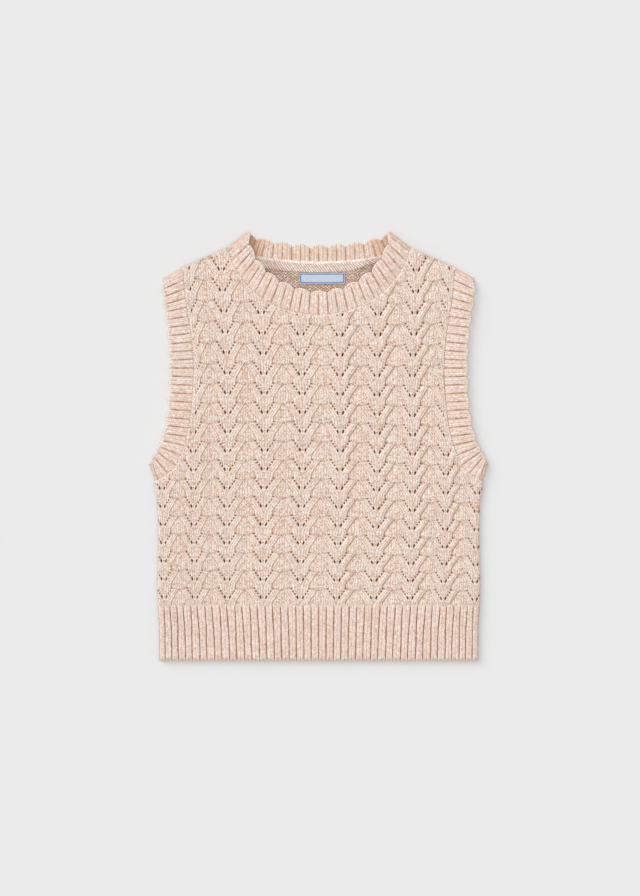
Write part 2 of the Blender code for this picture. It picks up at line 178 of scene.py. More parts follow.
def side_half_width(height):
    """Half the width of the body at a height."""
    return np.interp(height, SIDE_HEIGHTS, SIDE_HALF_WIDTHS)


armhole_seam = smooth_line(ARMHOLE[:, :2])
armhole_edge = smooth_line(ARMHOLE[:, 2:])
print("armhole seam, mm:", round(float(distances(armhole_seam)[-1]), 1))

# %% [markdown]
# ## How knitting becomes a mesh
#
# A knitted piece is rows of stitches, so each of our pieces starts as a flat grid whose corners
# know their column and row number. A function then says where each corner lies in space. Moving
# the corners of a grid keeps neat rows of faces for the stitches to follow, which cutting or
# remeshing would lose. Each corner also keeps a place in stitches or ribs, as a UV map, and the
# yarn materials draw loops along it.

# %% Grid helpers
def knit_grid(columns, rows):
    """A flat grid whose corners lie at their own column and row numbers."""
    bm = bmesh.new()
    bmesh.ops.create_grid(bm, x_segments=columns, y_segments=rows, size=0.5)
    bmesh.ops.translate(bm, vec=(0.5, 0.5, 0.0), verts=bm.verts)
    bmesh.ops.scale(bm, vec=(columns, rows, 1.0), verts=bm.verts)
    return bm


def corner_number(vert):
    """The column and row number of a corner that hasn't been moved yet."""
    return round(vert.co.x), round(vert.co.y)


def map_knit(bm, place, name="knit"):
    """Store each corner's place in the knitting, a (columns, rows, 2) array, as a UV map."""
    layer = bm.loops.layers.uv.new(name)
    for face in bm.faces:
        for loop in face.loops:
            loop[layer].uv = place[corner_number(loop.vert)]


def mark_knit(bm, values, name):
    """Store one number for each corner, such as how much painted shade it gets."""
    layer = bm.verts.layers.float.new(name)
    for vert in bm.verts:
        vert[layer] = values[corner_number(vert)]


def place_knit(bm, position):
    """Move each corner to its place in space, a (columns, rows, 3) array in millimetres."""
    for vert in bm.verts:
        vert.co = position[corner_number(vert)]


def close_underneath(bm, height):
    """Carry the rim of a sheet straight down and close it with a flat underside."""
    rim = [edge for edge in bm.edges if edge.is_boundary]
    grown = bmesh.ops.extrude_edge_only(bm, edges=rim)
    for vert in grown["geom"]:
        if isinstance(vert, bmesh.types.BMVert):
            vert.co.z = height
    rim = [edge for edge in bm.edges if edge.is_boundary]
    bmesh.ops.contextual_create(bm, geom=rim)


def add_object(name, data):
    """Put a mesh, a light or a camera into the scene."""
    item = bpy.data.objects.new(name, data)
    bpy.context.scene.collection.objects.link(item)
    return item


def finish_mesh(name, bm, material):
    """Turn a bmesh into an object of one material."""
    mesh = bpy.data.meshes.new(name)
    bm.to_mesh(mesh)
    bm.free()
    mesh.materials.append(material)
    return add_object(name, mesh)


SHARP_ANGLE = math.radians(60.0)


def finish_knit(name, bm, material, node):
    """Turn a bmesh in millimetres into a finished piece that stands for a plain node."""
    bmesh.ops.recalc_face_normals(bm, faces=bm.faces)
    bmesh.ops.scale(bm, vec=(MM, MM, MM), verts=bm.verts)
    piece = finish_mesh(name, bm, material)
    piece.data.shade_smooth()
    piece.data.set_sharp_from_angle(angle=SHARP_ANGLE)
    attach(piece, "root")
    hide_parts(node)
    print(name, "-", sum(len(face.vertices) - 2 for face in piece.data.polygons), "triangles")
    return piece


def laid_cloth(piece, round_size=None):
    """Print the size and area that were cut for a piece of cloth that lies flat.

    A wall has two sides, so half of what its faces cover from above is the area of its cloth. A
    band is a tube, so its size, all the way round and across, is given as round_size."""
    corners = np.array([vert.co[:2] for vert in piece.data.vertices])
    width, length = np.ptp(corners, axis=0).tolist()
    flat_area = sum(face.area * abs(face.normal.z) for face in piece.data.polygons) / 2
    if round_size:
        width, length = (value * MM for value in round_size)
        flat_area = min(flat_area, width * length)
    print(piece.name, "cut, m:", round(width, 3), "x", round(length, 3), "=", round(flat_area, 4))


# %% [markdown]
# ## Small maths for materials
#
# A material is a network of nodes. Most of ours are sums, so a helper that adds a Math node and
# links or fills its inputs keeps the recipes as short as a formula. An effect that several
# materials share is built once as a node group with named inputs and outputs.

# %% Node helpers
def connect(tree, value, socket):
    """Link a socket, or set a plain value."""
    if isinstance(value, bpy.types.NodeSocket):
        tree.links.new(value, socket)
    else:
        socket.default_value = value


def maths(tree, operation, *values, clamp=False):
    """A Math node with its inputs filled."""
    node = tree.nodes.new("ShaderNodeMath")
    node.operation = operation
    node.use_clamp = clamp
    for value, socket in zip(values, node.inputs):
        connect(tree, value, socket)
    return node.outputs[0]


def fade(tree, value, start, end, low=0.0, high=1.0):
    """A smooth change from low to high while the value goes from start to end."""
    node = tree.nodes.new("ShaderNodeMapRange")
    node.interpolation_type = "SMOOTHSTEP"
    connect(tree, value, node.inputs["Value"])
    connect(tree, start, node.inputs["From Min"])
    node.inputs["From Max"].default_value = end
    node.inputs["To Min"].default_value = low
    node.inputs["To Max"].default_value = high
    return node.outputs["Result"]


def blend(tree, share, first, second):
    """A colour between two, by share."""
    node = tree.nodes.new("ShaderNodeMix")
    node.data_type = "RGBA"
    connect(tree, share, node.inputs[0])
    connect(tree, first, node.inputs[6])
    connect(tree, second, node.inputs[7])
    return node.outputs[2]


def split(tree, vector):
    """The x and y of a vector."""
    node = tree.nodes.new("ShaderNodeSeparateXYZ")
    connect(tree, vector, node.inputs[0])
    return node.outputs[0], node.outputs[1]


def flipped(tree, share):
    """1 minus a share."""
    return maths(tree, "SUBTRACT", 1.0, share)


def choose(tree, switch, off, on):
    """One value where a switch is 0, another where it is 1."""
    kept = maths(tree, "MULTIPLY", off, flipped(tree, switch))
    return maths(tree, "MULTIPLY_ADD", on, switch, kept)


def wave(tree, value, length):
    """A wave between -1 and 1 that comes back at each length."""
    return maths(tree, "SINE", maths(tree, "MULTIPLY", value, math.tau / length))


def noise(tree, scale, where, detail=2.0):
    """Soft noise around 0.5."""
    node = tree.nodes.new("ShaderNodeTexNoise")
    node.inputs["Scale"].default_value = scale
    node.inputs["Detail"].default_value = detail
    connect(tree, where, node.inputs["Vector"])
    return node.outputs["Fac"]


def object_place(tree):
    """Each point's place on its piece, in metres."""
    return tree.nodes.new("ShaderNodeTexCoord").outputs["Object"]


def new_group(name, inputs, outputs):
    """An empty node group. inputs and outputs are (name, kind, starting value) rows."""
    tree = bpy.data.node_groups.new(name, "ShaderNodeTree")
    for label, kind, value in inputs:
        socket = tree.interface.new_socket(label, in_out="INPUT", socket_type=kind)
        if value is not None:
            socket.default_value = value
    for label, kind in outputs:
        tree.interface.new_socket(label, in_out="OUTPUT", socket_type=kind)
    start = tree.nodes.new("NodeGroupInput")
    end = tree.nodes.new("NodeGroupOutput")
    return tree, start.outputs, end.inputs


def use_group(tree, group, **values):
    """Place a group in a material and fill its inputs, named with _ for a space."""
    node = tree.nodes.new("ShaderNodeGroup")
    node.node_tree = group
    for label, value in values.items():
        connect(tree, value, node.inputs[label.replace("_", " ")])
    return node.outputs


NUMBER = "NodeSocketFloat"
COLOUR = "NodeSocketColor"
VECTOR = "NodeSocketVector"

# %% [markdown]
# ## Stitches
#
# A plain knit stitch shows two legs that lean towards each other, and a column of them is a wale.
# We draw them by folding the place across: each half of a wale is a leg, and the rows slant up on
# one and down on the other. On the inside of the cloth the same stitches show as bumps laid like
# bricks. Drawing them as height and as a number for each leg is far lighter than modelling
# a hundred thousand loops, and at arm's length it looks the same.

# %% Knit stitches
def stitch_group(name):
    """A group that turns a place in stitches into a height and a number for each stitch."""
    return new_group(name, [("Wale", NUMBER, 0.0), ("Course", NUMBER, 0.0)],
                     [("Height", NUMBER), ("Yarn", NUMBER)])


def stitch_number(tree, column, row):
    """A chance number from 0 to 1 that stays the same all over one stitch."""
    join = tree.nodes.new("ShaderNodeCombineXYZ")
    connect(tree, column, join.inputs[0])
    connect(tree, row, join.inputs[1])
    node = tree.nodes.new("ShaderNodeTexWhiteNoise")
    node.noise_dimensions = "2D"
    connect(tree, join.outputs[0], node.inputs["Vector"])
    return node.outputs["Value"]


def knit_stitches():
    tree, given, result = stitch_group("Knit stitches")
    legs = maths(tree, "MULTIPLY", given["Wale"], 2.0)
    leg = maths(tree, "FLOOR", legs)
    across = maths(tree, "SUBTRACT", legs, leg)
    side = maths(tree, "FLOORED_MODULO", leg, 2.0)
    climb = maths(tree, "ABSOLUTE", maths(tree, "SUBTRACT", side, across))
    slanted = maths(tree, "MULTIPLY_ADD", climb, 0.95, given["Course"])
    row = maths(tree, "FLOOR", slanted)
    along = maths(tree, "SUBTRACT", slanted, row)
    body = maths(tree, "MULTIPLY_ADD", maths(tree, "SQRT", wave(tree, along, 2.0)), 0.5, 0.5)
    height = maths(tree, "MULTIPLY", maths(tree, "POWER", wave(tree, across, 2.0), 0.4), body)
    channel = fade(tree, climb, 0.0, 0.7, 0.15, 1.0)
    connect(tree, maths(tree, "MULTIPLY", height, channel), result["Height"])
    connect(tree, stitch_number(tree, leg, row), result["Yarn"])
    return tree


STITCHES = knit_stitches()
print("knit stitches:", len(STITCHES.nodes), "nodes")

# %% Inside-out stitches
def purl_bumps():
    tree, given, result = stitch_group("Purl bumps")
    bowed = maths(tree, "MULTIPLY_ADD", wave(tree, given["Wale"], 1.0), 0.32, given["Course"])
    row = maths(tree, "FLOOR", bowed)
    round_along = wave(tree, maths(tree, "SUBTRACT", bowed, row), 2.0)
    shifted = maths(tree, "MULTIPLY_ADD", row, 0.5, given["Wale"])
    swell = wave(tree, maths(tree, "FRACT", shifted), 2.0)
    height = maths(tree, "MULTIPLY", round_along, maths(tree, "MULTIPLY_ADD", swell, 0.45, 0.55))
    connect(tree, height, result["Height"])
    connect(tree, stitch_number(tree, maths(tree, "FLOOR", shifted), row), result["Yarn"])
    return tree


PURL = purl_bumps()
print("purl bumps:", len(PURL.nodes), "nodes")

# %% [markdown]
# ## The marled yarn
#
# The yarn is spun from cream and pinkish beige fibres with a few tan flecks, so no two stitches
# have quite the same colour. The group below mixes three colours: by a number that each stitch
# carries, by fine noise for the fibres, and by a painted highlight where stitches catch the light.
# It then blends towards a warm painted shade in hollows, where light that has bounced between
# strands of yarn comes out more coloured. Holes, lines and seam gaps are painted in a deeper shade
# that ends in a dark brown.

# %% Marled yarn
CREAM = (1.0, 0.925, 0.86, 1.0)
BEIGE = (0.915, 0.76, 0.665, 1.0)
FLECK = (0.58, 0.395, 0.29, 1.0)
# The last three colours are painted shade: a warm one for hollows, and a brown and a near black
# brown for holes, lines and seam gaps.
SHADE = (0.56, 0.36, 0.245, 1.0)
DEEP_SHADE_BROWN = (0.32, 0.15, 0.08, 1.0)
DEEPEST_SHADE = (0.075, 0.032, 0.018, 1.0)


def marled_yarn():
    tree, given, result = new_group(
        "Marled yarn",
        [
            ("Cream", COLOUR, CREAM), ("Beige", COLOUR, BEIGE), ("Fleck", COLOUR, FLECK),
            ("Shade", COLOUR, SHADE), ("Yarn", NUMBER, 0.5), ("Light", NUMBER, 0.0),
            ("Hollow", NUMBER, 0.0), ("Hole", NUMBER, 0.0), ("Speckle", NUMBER, 1.0),
        ],
        [("Color", COLOUR), ("Fibre", NUMBER), ("Roughness", NUMBER)],
    )
    where = object_place(tree)
    fibre = noise(tree, 1000.0, where)
    grain = maths(tree, "SUBTRACT", fibre, 0.5)
    patch = maths(tree, "SUBTRACT", noise(tree, 70.0, where), 0.5)
    tufts = tree.nodes.new("ShaderNodeTexVoronoi")
    tufts.inputs["Scale"].default_value = 850.0
    connect(tree, where, tufts.inputs["Vector"])
    tuft, _ = split(tree, tufts.outputs["Color"])
    tuft = maths(tree, "MULTIPLY", maths(tree, "SUBTRACT", tuft, 0.5), given["Speckle"])
    tone = maths(tree, "MULTIPLY_ADD", given["Yarn"], 0.35, -0.175)
    tone = maths(tree, "MULTIPLY_ADD", grain, 0.9, tone)
    tone = maths(tree, "MULTIPLY_ADD", patch, 0.15, tone)
    # Painted highlight: the tone grows lighter where stitches catch the light.
    tone = maths(tree, "MULTIPLY_ADD", given["Light"], 0.3, tone)
    tone = maths(tree, "ADD", maths(tree, "ADD", tone, 0.55), tuft)
    colour = blend(tree, fade(tree, tone, 0.4, 1.1), given["Beige"], given["Cream"])
    colour = blend(tree, fade(tree, tone, 0.45, -0.15), colour, given["Fleck"])
    # Painted shade: hollows blend towards the shade colour, and holes, lines and seam gaps towards
    # brown and then a near black brown.
    colour = blend(tree, given["Hollow"], colour, given["Shade"])
    colour = blend(tree, fade(tree, given["Hole"], 0.0, 0.55), colour, DEEP_SHADE_BROWN)
    colour = blend(tree, fade(tree, given["Hole"], 0.5, 1.0), colour, DEEPEST_SHADE)
    connect(tree, colour, result["Color"])
    connect(tree, fibre, result["Fibre"])
    connect(tree, fade(tree, fibre, 0.3, 0.7, 0.82, 0.96), result["Roughness"])
    return tree


YARN = marled_yarn()
print("marled yarn:", len(YARN.nodes), "nodes")

# %% [markdown]
# ## The lace repeat
#
# The front repeats one motif. Two slanted holes sit side by side at the point of a V, a line of
# smaller holes climbs outwards from each, and the plain arms of the V lie outside them. Below the
# holes a smooth stem reaches down to the next motif, rows of stitches bend over it in small arcs,
# and between two columns lies a softer hollow that ends at a fine dashed line.
#
# Real lace could be knitted strand by strand, which takes millions of faces, or printed on a flat
# sheet, which stays flat when the light moves. We chart the motif once instead, in
# millimetres from the middle of the pair of holes: a is the place to either side and b the place
# up. A motif is 19.2 mm tall and its column 34.7 mm wide. One function carves it into the mesh and
# a node group draws its holes and lines with the same numbers, because the small holes are finer
# than the mesh.
# %% The chart of the repeat
MOTIF_HEIGHT = 19.2
MOTIF_HALF = 17.35
MOTIF_FOOT = -9.8
MOTIF_TOP = MOTIF_FOOT + MOTIF_HEIGHT
ARM_BEND = -4.8
ARM_OUTER = 8.3
ARM_SLOPE = 0.62
STEM_SLOPE = 0.12
HOLE_LINE_START = 2.6
HOLE_LINE_SLOPE = 0.6
DASH_SAG = 1.4
DASH_SAG_START, DASH_SAG_END = 10.0, 17.0

Spot = namedtuple("Spot", "across up wide tall lean strength")
HOLES = (
    Spot(2.6, 0.0, 0.9, 2.05, 0.27, 0.97),
    Spot(4.95, 3.8, 0.95, 1.15, 0.2, 0.60),
    Spot(6.9, 6.5, 0.95, 1.15, 0.2, 0.60),
    Spot(8.4, 9.5, 1.1, 1.0, 0.0, 0.54),
    Spot(0.0, 0.3, 0.65, 0.75, 0.0, 0.42),
    Spot(0.0, -5.6, 0.6, 0.7, 0.0, 0.2),
)
Arc = namedtuple("Arc", "centre radius strength")
ARCS = (Arc(1.5, 2.1, 0.5), Arc(1.5, 3.8, 0.25), Arc(-5.7, 2.1, 0.35))
print("motif, mm:", 2 * MOTIF_HALF, "x", MOTIF_HEIGHT)


def arm_outer_line(b):
    """How far out the outer line of stem and arm lies at a height."""
    above = b - ARM_BEND
    return ARM_OUTER + ARM_SLOPE * np.maximum(above, 0) + STEM_SLOPE * np.minimum(above, 0)


def wrapped(value):
    """A height brought to within half a motif of 0."""
    return (value + MOTIF_HEIGHT / 2) % MOTIF_HEIGHT - MOTIF_HEIGHT / 2


# %% Carving the repeat
ARM_HEIGHT = 1.5
BULGE_HEIGHT = 0.8
POST_HEIGHT = 1.15
GROOVE_DEPTH = 0.28
PIT_DEPTH = 1.7
FAINTEST_PIT = 0.3


def spot_share(a, b, spot):
    """1 in the middle of a hole, 0 outside it."""
    away = wrapped(b - spot.up)
    wide = (a - spot.across - spot.lean * away) / spot.wide
    return 1.0 - ease(wide ** 2 + (away / spot.tall) ** 2, 0.3, 1.7)


def hole_pits(a, b):
    """How deep the holes are at each place, as a share. The faintest are only drawn."""
    carved = [spot for spot in HOLES if spot.strength > FAINTEST_PIT]
    return np.max([spot.strength * spot_share(a, b, spot) for spot in carved], axis=0)


def arm_height(a, b, inner, outer):
    """The rounded ridge of stem and arm, low on the side of its holes and at its two ends."""
    line = np.maximum(inner, 0.0)
    share = (a - line) / (outer - line)
    slope = 0.25 + 0.75 * ease(share, 0.0, 0.6)
    arm = ARM_HEIGHT * ease(1.0 - share, 0.0, 0.24) * mix(1.0, slope, ease(b, -4.5, 0.0))
    arm = arm * (1.0 - 0.3 * ease(b, 7.0, MOTIF_TOP))
    from_wedge = a - 0.75 * np.maximum(-4.6 - b, 0.0)
    low_foot = 0.55 + 0.45 * ease(from_wedge, -0.6, 2.0)
    return arm * mix(1.0, low_foot, 1.0 - ease(b, -6.0, -3.6))


def lace_relief(a, b):
    """The height of the lace over its ground, and how much painted shade each place gets as a
    recess.
    """
    outer = arm_outer_line(b)
    inner = HOLE_LINE_START + HOLE_LINE_SLOPE * b
    rising = 0.2 + 0.48 * ease(b, 0.0, MOTIF_TOP)
    triangle = rising + 0.5 * ease(b, 6.5, MOTIF_TOP) * ease(a, 3.0, 6.0)
    triangle = triangle * ease(inner - a, -0.3, 1.2)
    to_dash = wrapped(b - MOTIF_TOP + DASH_SAG * ease(a, DASH_SAG_START, DASH_SAG_END))
    bulge = BULGE_HEIGHT * ease(to_dash, 0.0, 2.2) * (1.0 - 0.9 * ease(b, -7.6, 0.5)) * (b < 6.0)
    between = bulge * ease(a - outer, 0.0, 1.8)
    within = np.where((a < inner) & (b > 0.0), triangle, arm_height(a, b, inner, outer))
    height = np.where(a > outer, between, within)
    groove = (1.0 - ease(np.abs(to_dash), 0.2, 1.1)) * ease(a, 7.6, 8.8)
    height = height - GROOVE_DEPTH * groove
    post = (1.0 - ease(a, 1.1, 2.0)) * (1.0 - ease(np.abs(b - 0.2), 1.6, 2.8))
    height = np.maximum(height, POST_HEIGHT * post) - PIT_DEPTH * hole_pits(a, b)
    # Painted shade in the recess between two columns.
    painted_shade = ease(a - outer, -0.3, 1.6) * ease(b, -8.0, 2.0)
    return height, painted_shade


print("middle of a hole, mm:", round(float(lace_relief(np.array(2.6), np.array(0.0))[0]), 2))


# %% Drawing the holes
def near_zero(tree, value):
    """A height brought to within half a motif of 0, as in the mesh."""
    return maths(tree, "WRAP", value, MOTIF_HEIGHT / 2, -MOTIF_HEIGHT / 2)


def squared(tree, value, size):
    """The square of a distance, counted in a size."""
    return maths(tree, "POWER", maths(tree, "ABSOLUTE", maths(tree, "DIVIDE", value, size)), 2.0)


# Holes are painted in shade through this mask, because the small ones are finer than the mesh.
def draw_holes(tree, across, up):
    hole = 0.0
    for spot in HOLES:
        away = near_zero(tree, maths(tree, "SUBTRACT", up, spot.up))
        wide = maths(tree, "SUBTRACT", across, spot.across)
        wide = maths(tree, "MULTIPLY_ADD", away, -spot.lean, wide)
        wide = squared(tree, wide, spot.wide)
        reach = maths(tree, "ADD", wide, squared(tree, away, spot.tall))
        mark = fade(tree, reach, 0.25, 1.25, spot.strength, 0.0)
        hole = maths(tree, "MAXIMUM", hole, mark)
    return hole


print("holes charted:", len(HOLES))


# %% Drawing the lines
DASH_LENGTH = 2.3


def draw_outer_line(tree, up):
    """How far out the outer line of stem and arm lies, as in the mesh."""
    from_bend = maths(tree, "SUBTRACT", up, ARM_BEND)
    above = maths(tree, "MAXIMUM", from_bend, 0.0)
    below = maths(tree, "MINIMUM", from_bend, 0.0)
    outer = maths(tree, "MULTIPLY_ADD", above, ARM_SLOPE, ARM_OUTER)
    return maths(tree, "MULTIPLY_ADD", below, STEM_SLOPE, outer)


def draw_arm_edge(tree, outside, direction):
    """A thin shade just outside each arm, stronger on the side away from the light."""
    edge = maths(tree, "ABSOLUTE", maths(tree, "SUBTRACT", outside, 0.3))
    edge = fade(tree, edge, 0.1, 0.8, 1.0, 0.0)
    return maths(tree, "MULTIPLY", edge, maths(tree, "MULTIPLY_ADD", direction, 0.3, 0.55))


def draw_dashes(tree, across, up):
    """The line of short, hooked stitches where the recess between columns ends, painted as shade.
    """
    sag = fade(tree, across, DASH_SAG_START, DASH_SAG_END, -MOTIF_TOP, DASH_SAG - MOTIF_TOP)
    to_line = near_zero(tree, maths(tree, "ADD", up, sag))
    dash = wave(tree, across, DASH_LENGTH)
    hook = maths(tree, "ABSOLUTE", maths(tree, "MULTIPLY_ADD", dash, 0.5, to_line))
    dash = maths(tree, "MULTIPLY_ADD", dash, 0.4, 0.6)
    dashes = maths(tree, "MULTIPLY", fade(tree, hook, 0.2, 1.0, 0.85, 0.0), dash)
    return maths(tree, "MULTIPLY", dashes, fade(tree, across, 7.8, 8.6))


def draw_arc(tree, arc, across, up):
    """A row of stitches that bends over the holes or over the stem, painted as a line of shade."""
    rise = maths(tree, "SUBTRACT", up, arc.centre)
    away = maths(tree, "MULTIPLY_ADD", across, across, maths(tree, "MULTIPLY", rise, rise))
    away = maths(tree, "SUBTRACT", maths(tree, "SQRT", away), arc.radius)
    mark = fade(tree, maths(tree, "ABSOLUTE", away), 0.1, 0.6, arc.strength, 0.0)
    return maths(tree, "MULTIPLY", mark, fade(tree, rise, 0.5 * arc.radius, 0.8 * arc.radius))


# %% Drawing the whole repeat
LACE_STITCH_WIDTH = 2.5
LACE_STITCH_HEIGHT = 2.15


def inside_arm(tree, across, up, outside):
    """1 on stem and arm, 0 between the columns and in the triangle over the holes."""
    inner = maths(tree, "MULTIPLY_ADD", up, HOLE_LINE_SLOPE, HOLE_LINE_START)
    over_line = fade(tree, maths(tree, "SUBTRACT", inner, across), -0.1, 0.1)
    in_triangle = maths(tree, "MULTIPLY", over_line, fade(tree, up, -0.1, 0.1))
    within = fade(tree, outside, -0.1, 0.1, 1.0, 0.0)
    return maths(tree, "MULTIPLY", within, flipped(tree, in_triangle))


def draw_light(tree, across, up, arm):
    """The stitches that stand out and catch the light: under the holes, between them, the arms."""
    below_holes = maths(tree, "SUBTRACT", maths(tree, "ADD", up, 4.0), across)
    bar = fade(tree, maths(tree, "ABSOLUTE", below_holes), 0.4, 1.3, 0.9, 0.0)
    bar = maths(tree, "MULTIPLY", bar, fade(tree, across, 3.4, 4.4, 1.0, 0.0))
    level = fade(tree, maths(tree, "ABSOLUTE", up), 1.5, 2.4, 1.0, 0.0)
    post = maths(tree, "MULTIPLY", fade(tree, across, 0.9, 1.7, 1.0, 0.0), level)
    light = maths(tree, "MAXIMUM", bar, post)
    return maths(tree, "MAXIMUM", light, maths(tree, "MULTIPLY", arm, 0.45))


def lace_marks():
    tree, given, result = new_group(
        "Lace marks",
        [("Place", VECTOR, None)],
        [(name, NUMBER) for name in ("Hole", "Line", "Wale", "Course", "Light")],
    )
    side, rise = split(tree, given["Place"])
    across = maths(tree, "ABSOLUTE", side)
    direction = maths(tree, "SIGN", side)
    up = maths(tree, "WRAP", rise, MOTIF_TOP, MOTIF_FOOT)
    outside = maths(tree, "SUBTRACT", across, draw_outer_line(tree, up))
    arm = inside_arm(tree, across, up, outside)
    connect(tree, draw_holes(tree, across, up), result["Hole"])
    connect(tree, draw_light(tree, across, up, arm), result["Light"])
    line = draw_arm_edge(tree, outside, direction)
    line = maths(tree, "MAXIMUM", line, draw_dashes(tree, across, up))
    for arc in ARCS:
        line = maths(tree, "MAXIMUM", line, draw_arc(tree, arc, across, up))
    connect(tree, line, result["Line"])
    steep = maths(tree, "GREATER_THAN", arm, 0.5)
    wale = choose(tree, steep, maths(tree, "DIVIDE", across, LACE_STITCH_WIDTH),
                  maths(tree, "DIVIDE", outside, LACE_STITCH_WIDTH))
    unevenness = maths(tree, "SUBTRACT", noise(tree, 0.4, given["Place"]), 0.5)
    wale = maths(tree, "MULTIPLY_ADD", unevenness, 0.8, maths(tree, "MULTIPLY", wale, direction))
    connect(tree, wale, result["Wale"])
    tilt = maths(tree, "MULTIPLY", maths(tree, "MULTIPLY", across, steep), -0.3)
    course = maths(tree, "DIVIDE", maths(tree, "ADD", rise, tilt), LACE_STITCH_HEIGHT)
    connect(tree, course, result["Course"])
    return tree


LACE = lace_marks()
print("groups:", [group.name for group in bpy.data.node_groups])

# %% [markdown]
# ## The yarn materials
#
# Every knitted piece uses the same yarn, so the materials differ only in what lies under the
# stitches. Roughness stays high, as on wool-like yarn, and a little sheen stands for the fine
# fibres that catch light at a slant. These two are the same all over, so they are set on the
# shader itself. Small heights go through a Bump node.

# %% Shared shader set-up
def new_shader(name, values):
    """A new material with its network and its shader, and the shader's constants filled in."""
    material = bpy.data.materials.new(name)
    material.use_nodes = True
    shader = material.node_tree.nodes["Principled BSDF"]
    for label, value in values.items():
        shader.inputs[label].default_value = value
    return material, material.node_tree, shader


YARN_SHADER = {
    "Specular IOR Level": 0.08,
    "Sheen Weight": 0.08,
    "Sheen Roughness": 0.5,
    "Sheen Tint": (1.0, 0.93, 0.88, 1.0),
}
YARN_BUMP_DEPTH = 0.0006


def knit_place(tree, name="knit"):
    """The place in the knitting that a piece stores as a UV map."""
    node = tree.nodes.new("ShaderNodeUVMap")
    node.uv_map = name
    return node.outputs["UV"]


def stored(tree, name):
    """A number that a piece stores for each corner."""
    node = tree.nodes.new("ShaderNodeAttribute")
    node.attribute_name = name
    return node.outputs["Fac"]


def raise_surface(tree, shader, height, strength, depth):
    """Let a height catch the light without moving the mesh."""
    node = tree.nodes.new("ShaderNodeBump")
    node.inputs["Strength"].default_value = strength
    node.inputs["Distance"].default_value = depth
    connect(tree, height, node.inputs["Height"])
    connect(tree, node.outputs["Normal"], shader.inputs["Normal"])


def cover_with_yarn(tree, shader, stitches, bump=0.7, **values):
    """Colour a shader with the marled yarn and raise its stitches and fibres."""
    yarn = use_group(tree, YARN, Yarn=stitches["Yarn"], **values)
    connect(tree, yarn["Color"], shader.inputs["Base Color"])
    connect(tree, yarn["Roughness"], shader.inputs["Roughness"])
    relief = maths(tree, "MULTIPLY_ADD", yarn["Fibre"], 0.5, stitches["Height"])
    raise_surface(tree, shader, relief, bump, YARN_BUMP_DEPTH)


def valleys(tree, stitches, level, depth):
    """How far the stitches lie under a level, times a depth of shade."""
    below = maths(tree, "SUBTRACT", level, stitches["Height"])
    return maths(tree, "MAXIMUM", maths(tree, "MULTIPLY", below, depth), 0.0)


print("yarn shader:", YARN_SHADER)


# %% Lace knit
EDGE_STITCH_WIDTH = 2.6
EDGE_STITCH_HEIGHT = 2.1


def seam_gaps(tree, chain, along):
    """The gaps between the stitches that join the lace to a band, painted dark as shade."""
    gap = fade(tree, wave(tree, along, EDGE_STITCH_WIDTH), -0.6, 0.6, 0.3, 1.0)
    return maths(tree, "MULTIPLY", fade(tree, chain, 0.6, 1.4, 0.33, 0.0), gap)


def lace_finish(name):
    material, tree, shader = new_shader(name, YARN_SHADER)
    marks = use_group(tree, LACE, Place=knit_place(tree))
    plain = stored(tree, "plain")
    openwork = flipped(tree, plain)
    chain, along = split(tree, knit_place(tree, "edge"))
    at_edge = maths(tree, "GREATER_THAN", plain, 0.5)
    wale = choose(tree, at_edge, marks["Wale"], maths(tree, "DIVIDE", chain, EDGE_STITCH_WIDTH))
    course = choose(tree, at_edge, marks["Course"],
                    maths(tree, "DIVIDE", along, EDGE_STITCH_HEIGHT))
    stitches = use_group(tree, STITCHES, Wale=wale, Course=course)
    # Painted shade along the lines, in the recesses between columns and in the valleys between
    # stitches.
    line = maths(tree, "MULTIPLY", marks["Line"], openwork)
    painted_shade = maths(tree, "MULTIPLY_ADD", stored(tree, "painted_shade"), 0.04, line, clamp=True)
    painted_shade = maths(tree, "ADD", painted_shade, valleys(tree, stitches, 0.8, 1.1), clamp=True)
    # A deeper painted shade in the darkest lines and, at the edge, in the seam gaps.
    deep = fade(tree, line, 0.5, 1.0, 0.0, 0.3)
    deep = maths(tree, "MULTIPLY_ADD", seam_gaps(tree, chain, along), at_edge, deep)
    # The holes get the deepest painted shade, except where the lace is quiet near a seam.
    holes = maths(tree, "MULTIPLY", marks["Hole"], flipped(tree, stored(tree, "quiet")))
    # Painted highlight on the stitches that catch the light and, more weakly, on the plain edge
    # stitches.
    light = maths(tree, "MAXIMUM", maths(tree, "MULTIPLY", marks["Light"], openwork),
                  maths(tree, "MULTIPLY", plain, 0.3))
    cover_with_yarn(tree, shader, stitches, Light=light, Hollow=painted_shade,
                    Hole=maths(tree, "MAXIMUM", holes, deep), Speckle=1.4)
    return material


lace_knit = lace_finish("lace knit")
print("lace knit:", len(lace_knit.node_tree.nodes), "nodes")

# %% Rib knit
WALES_IN_RIB = 2.0
RIB_STITCH_HEIGHT = 2.5


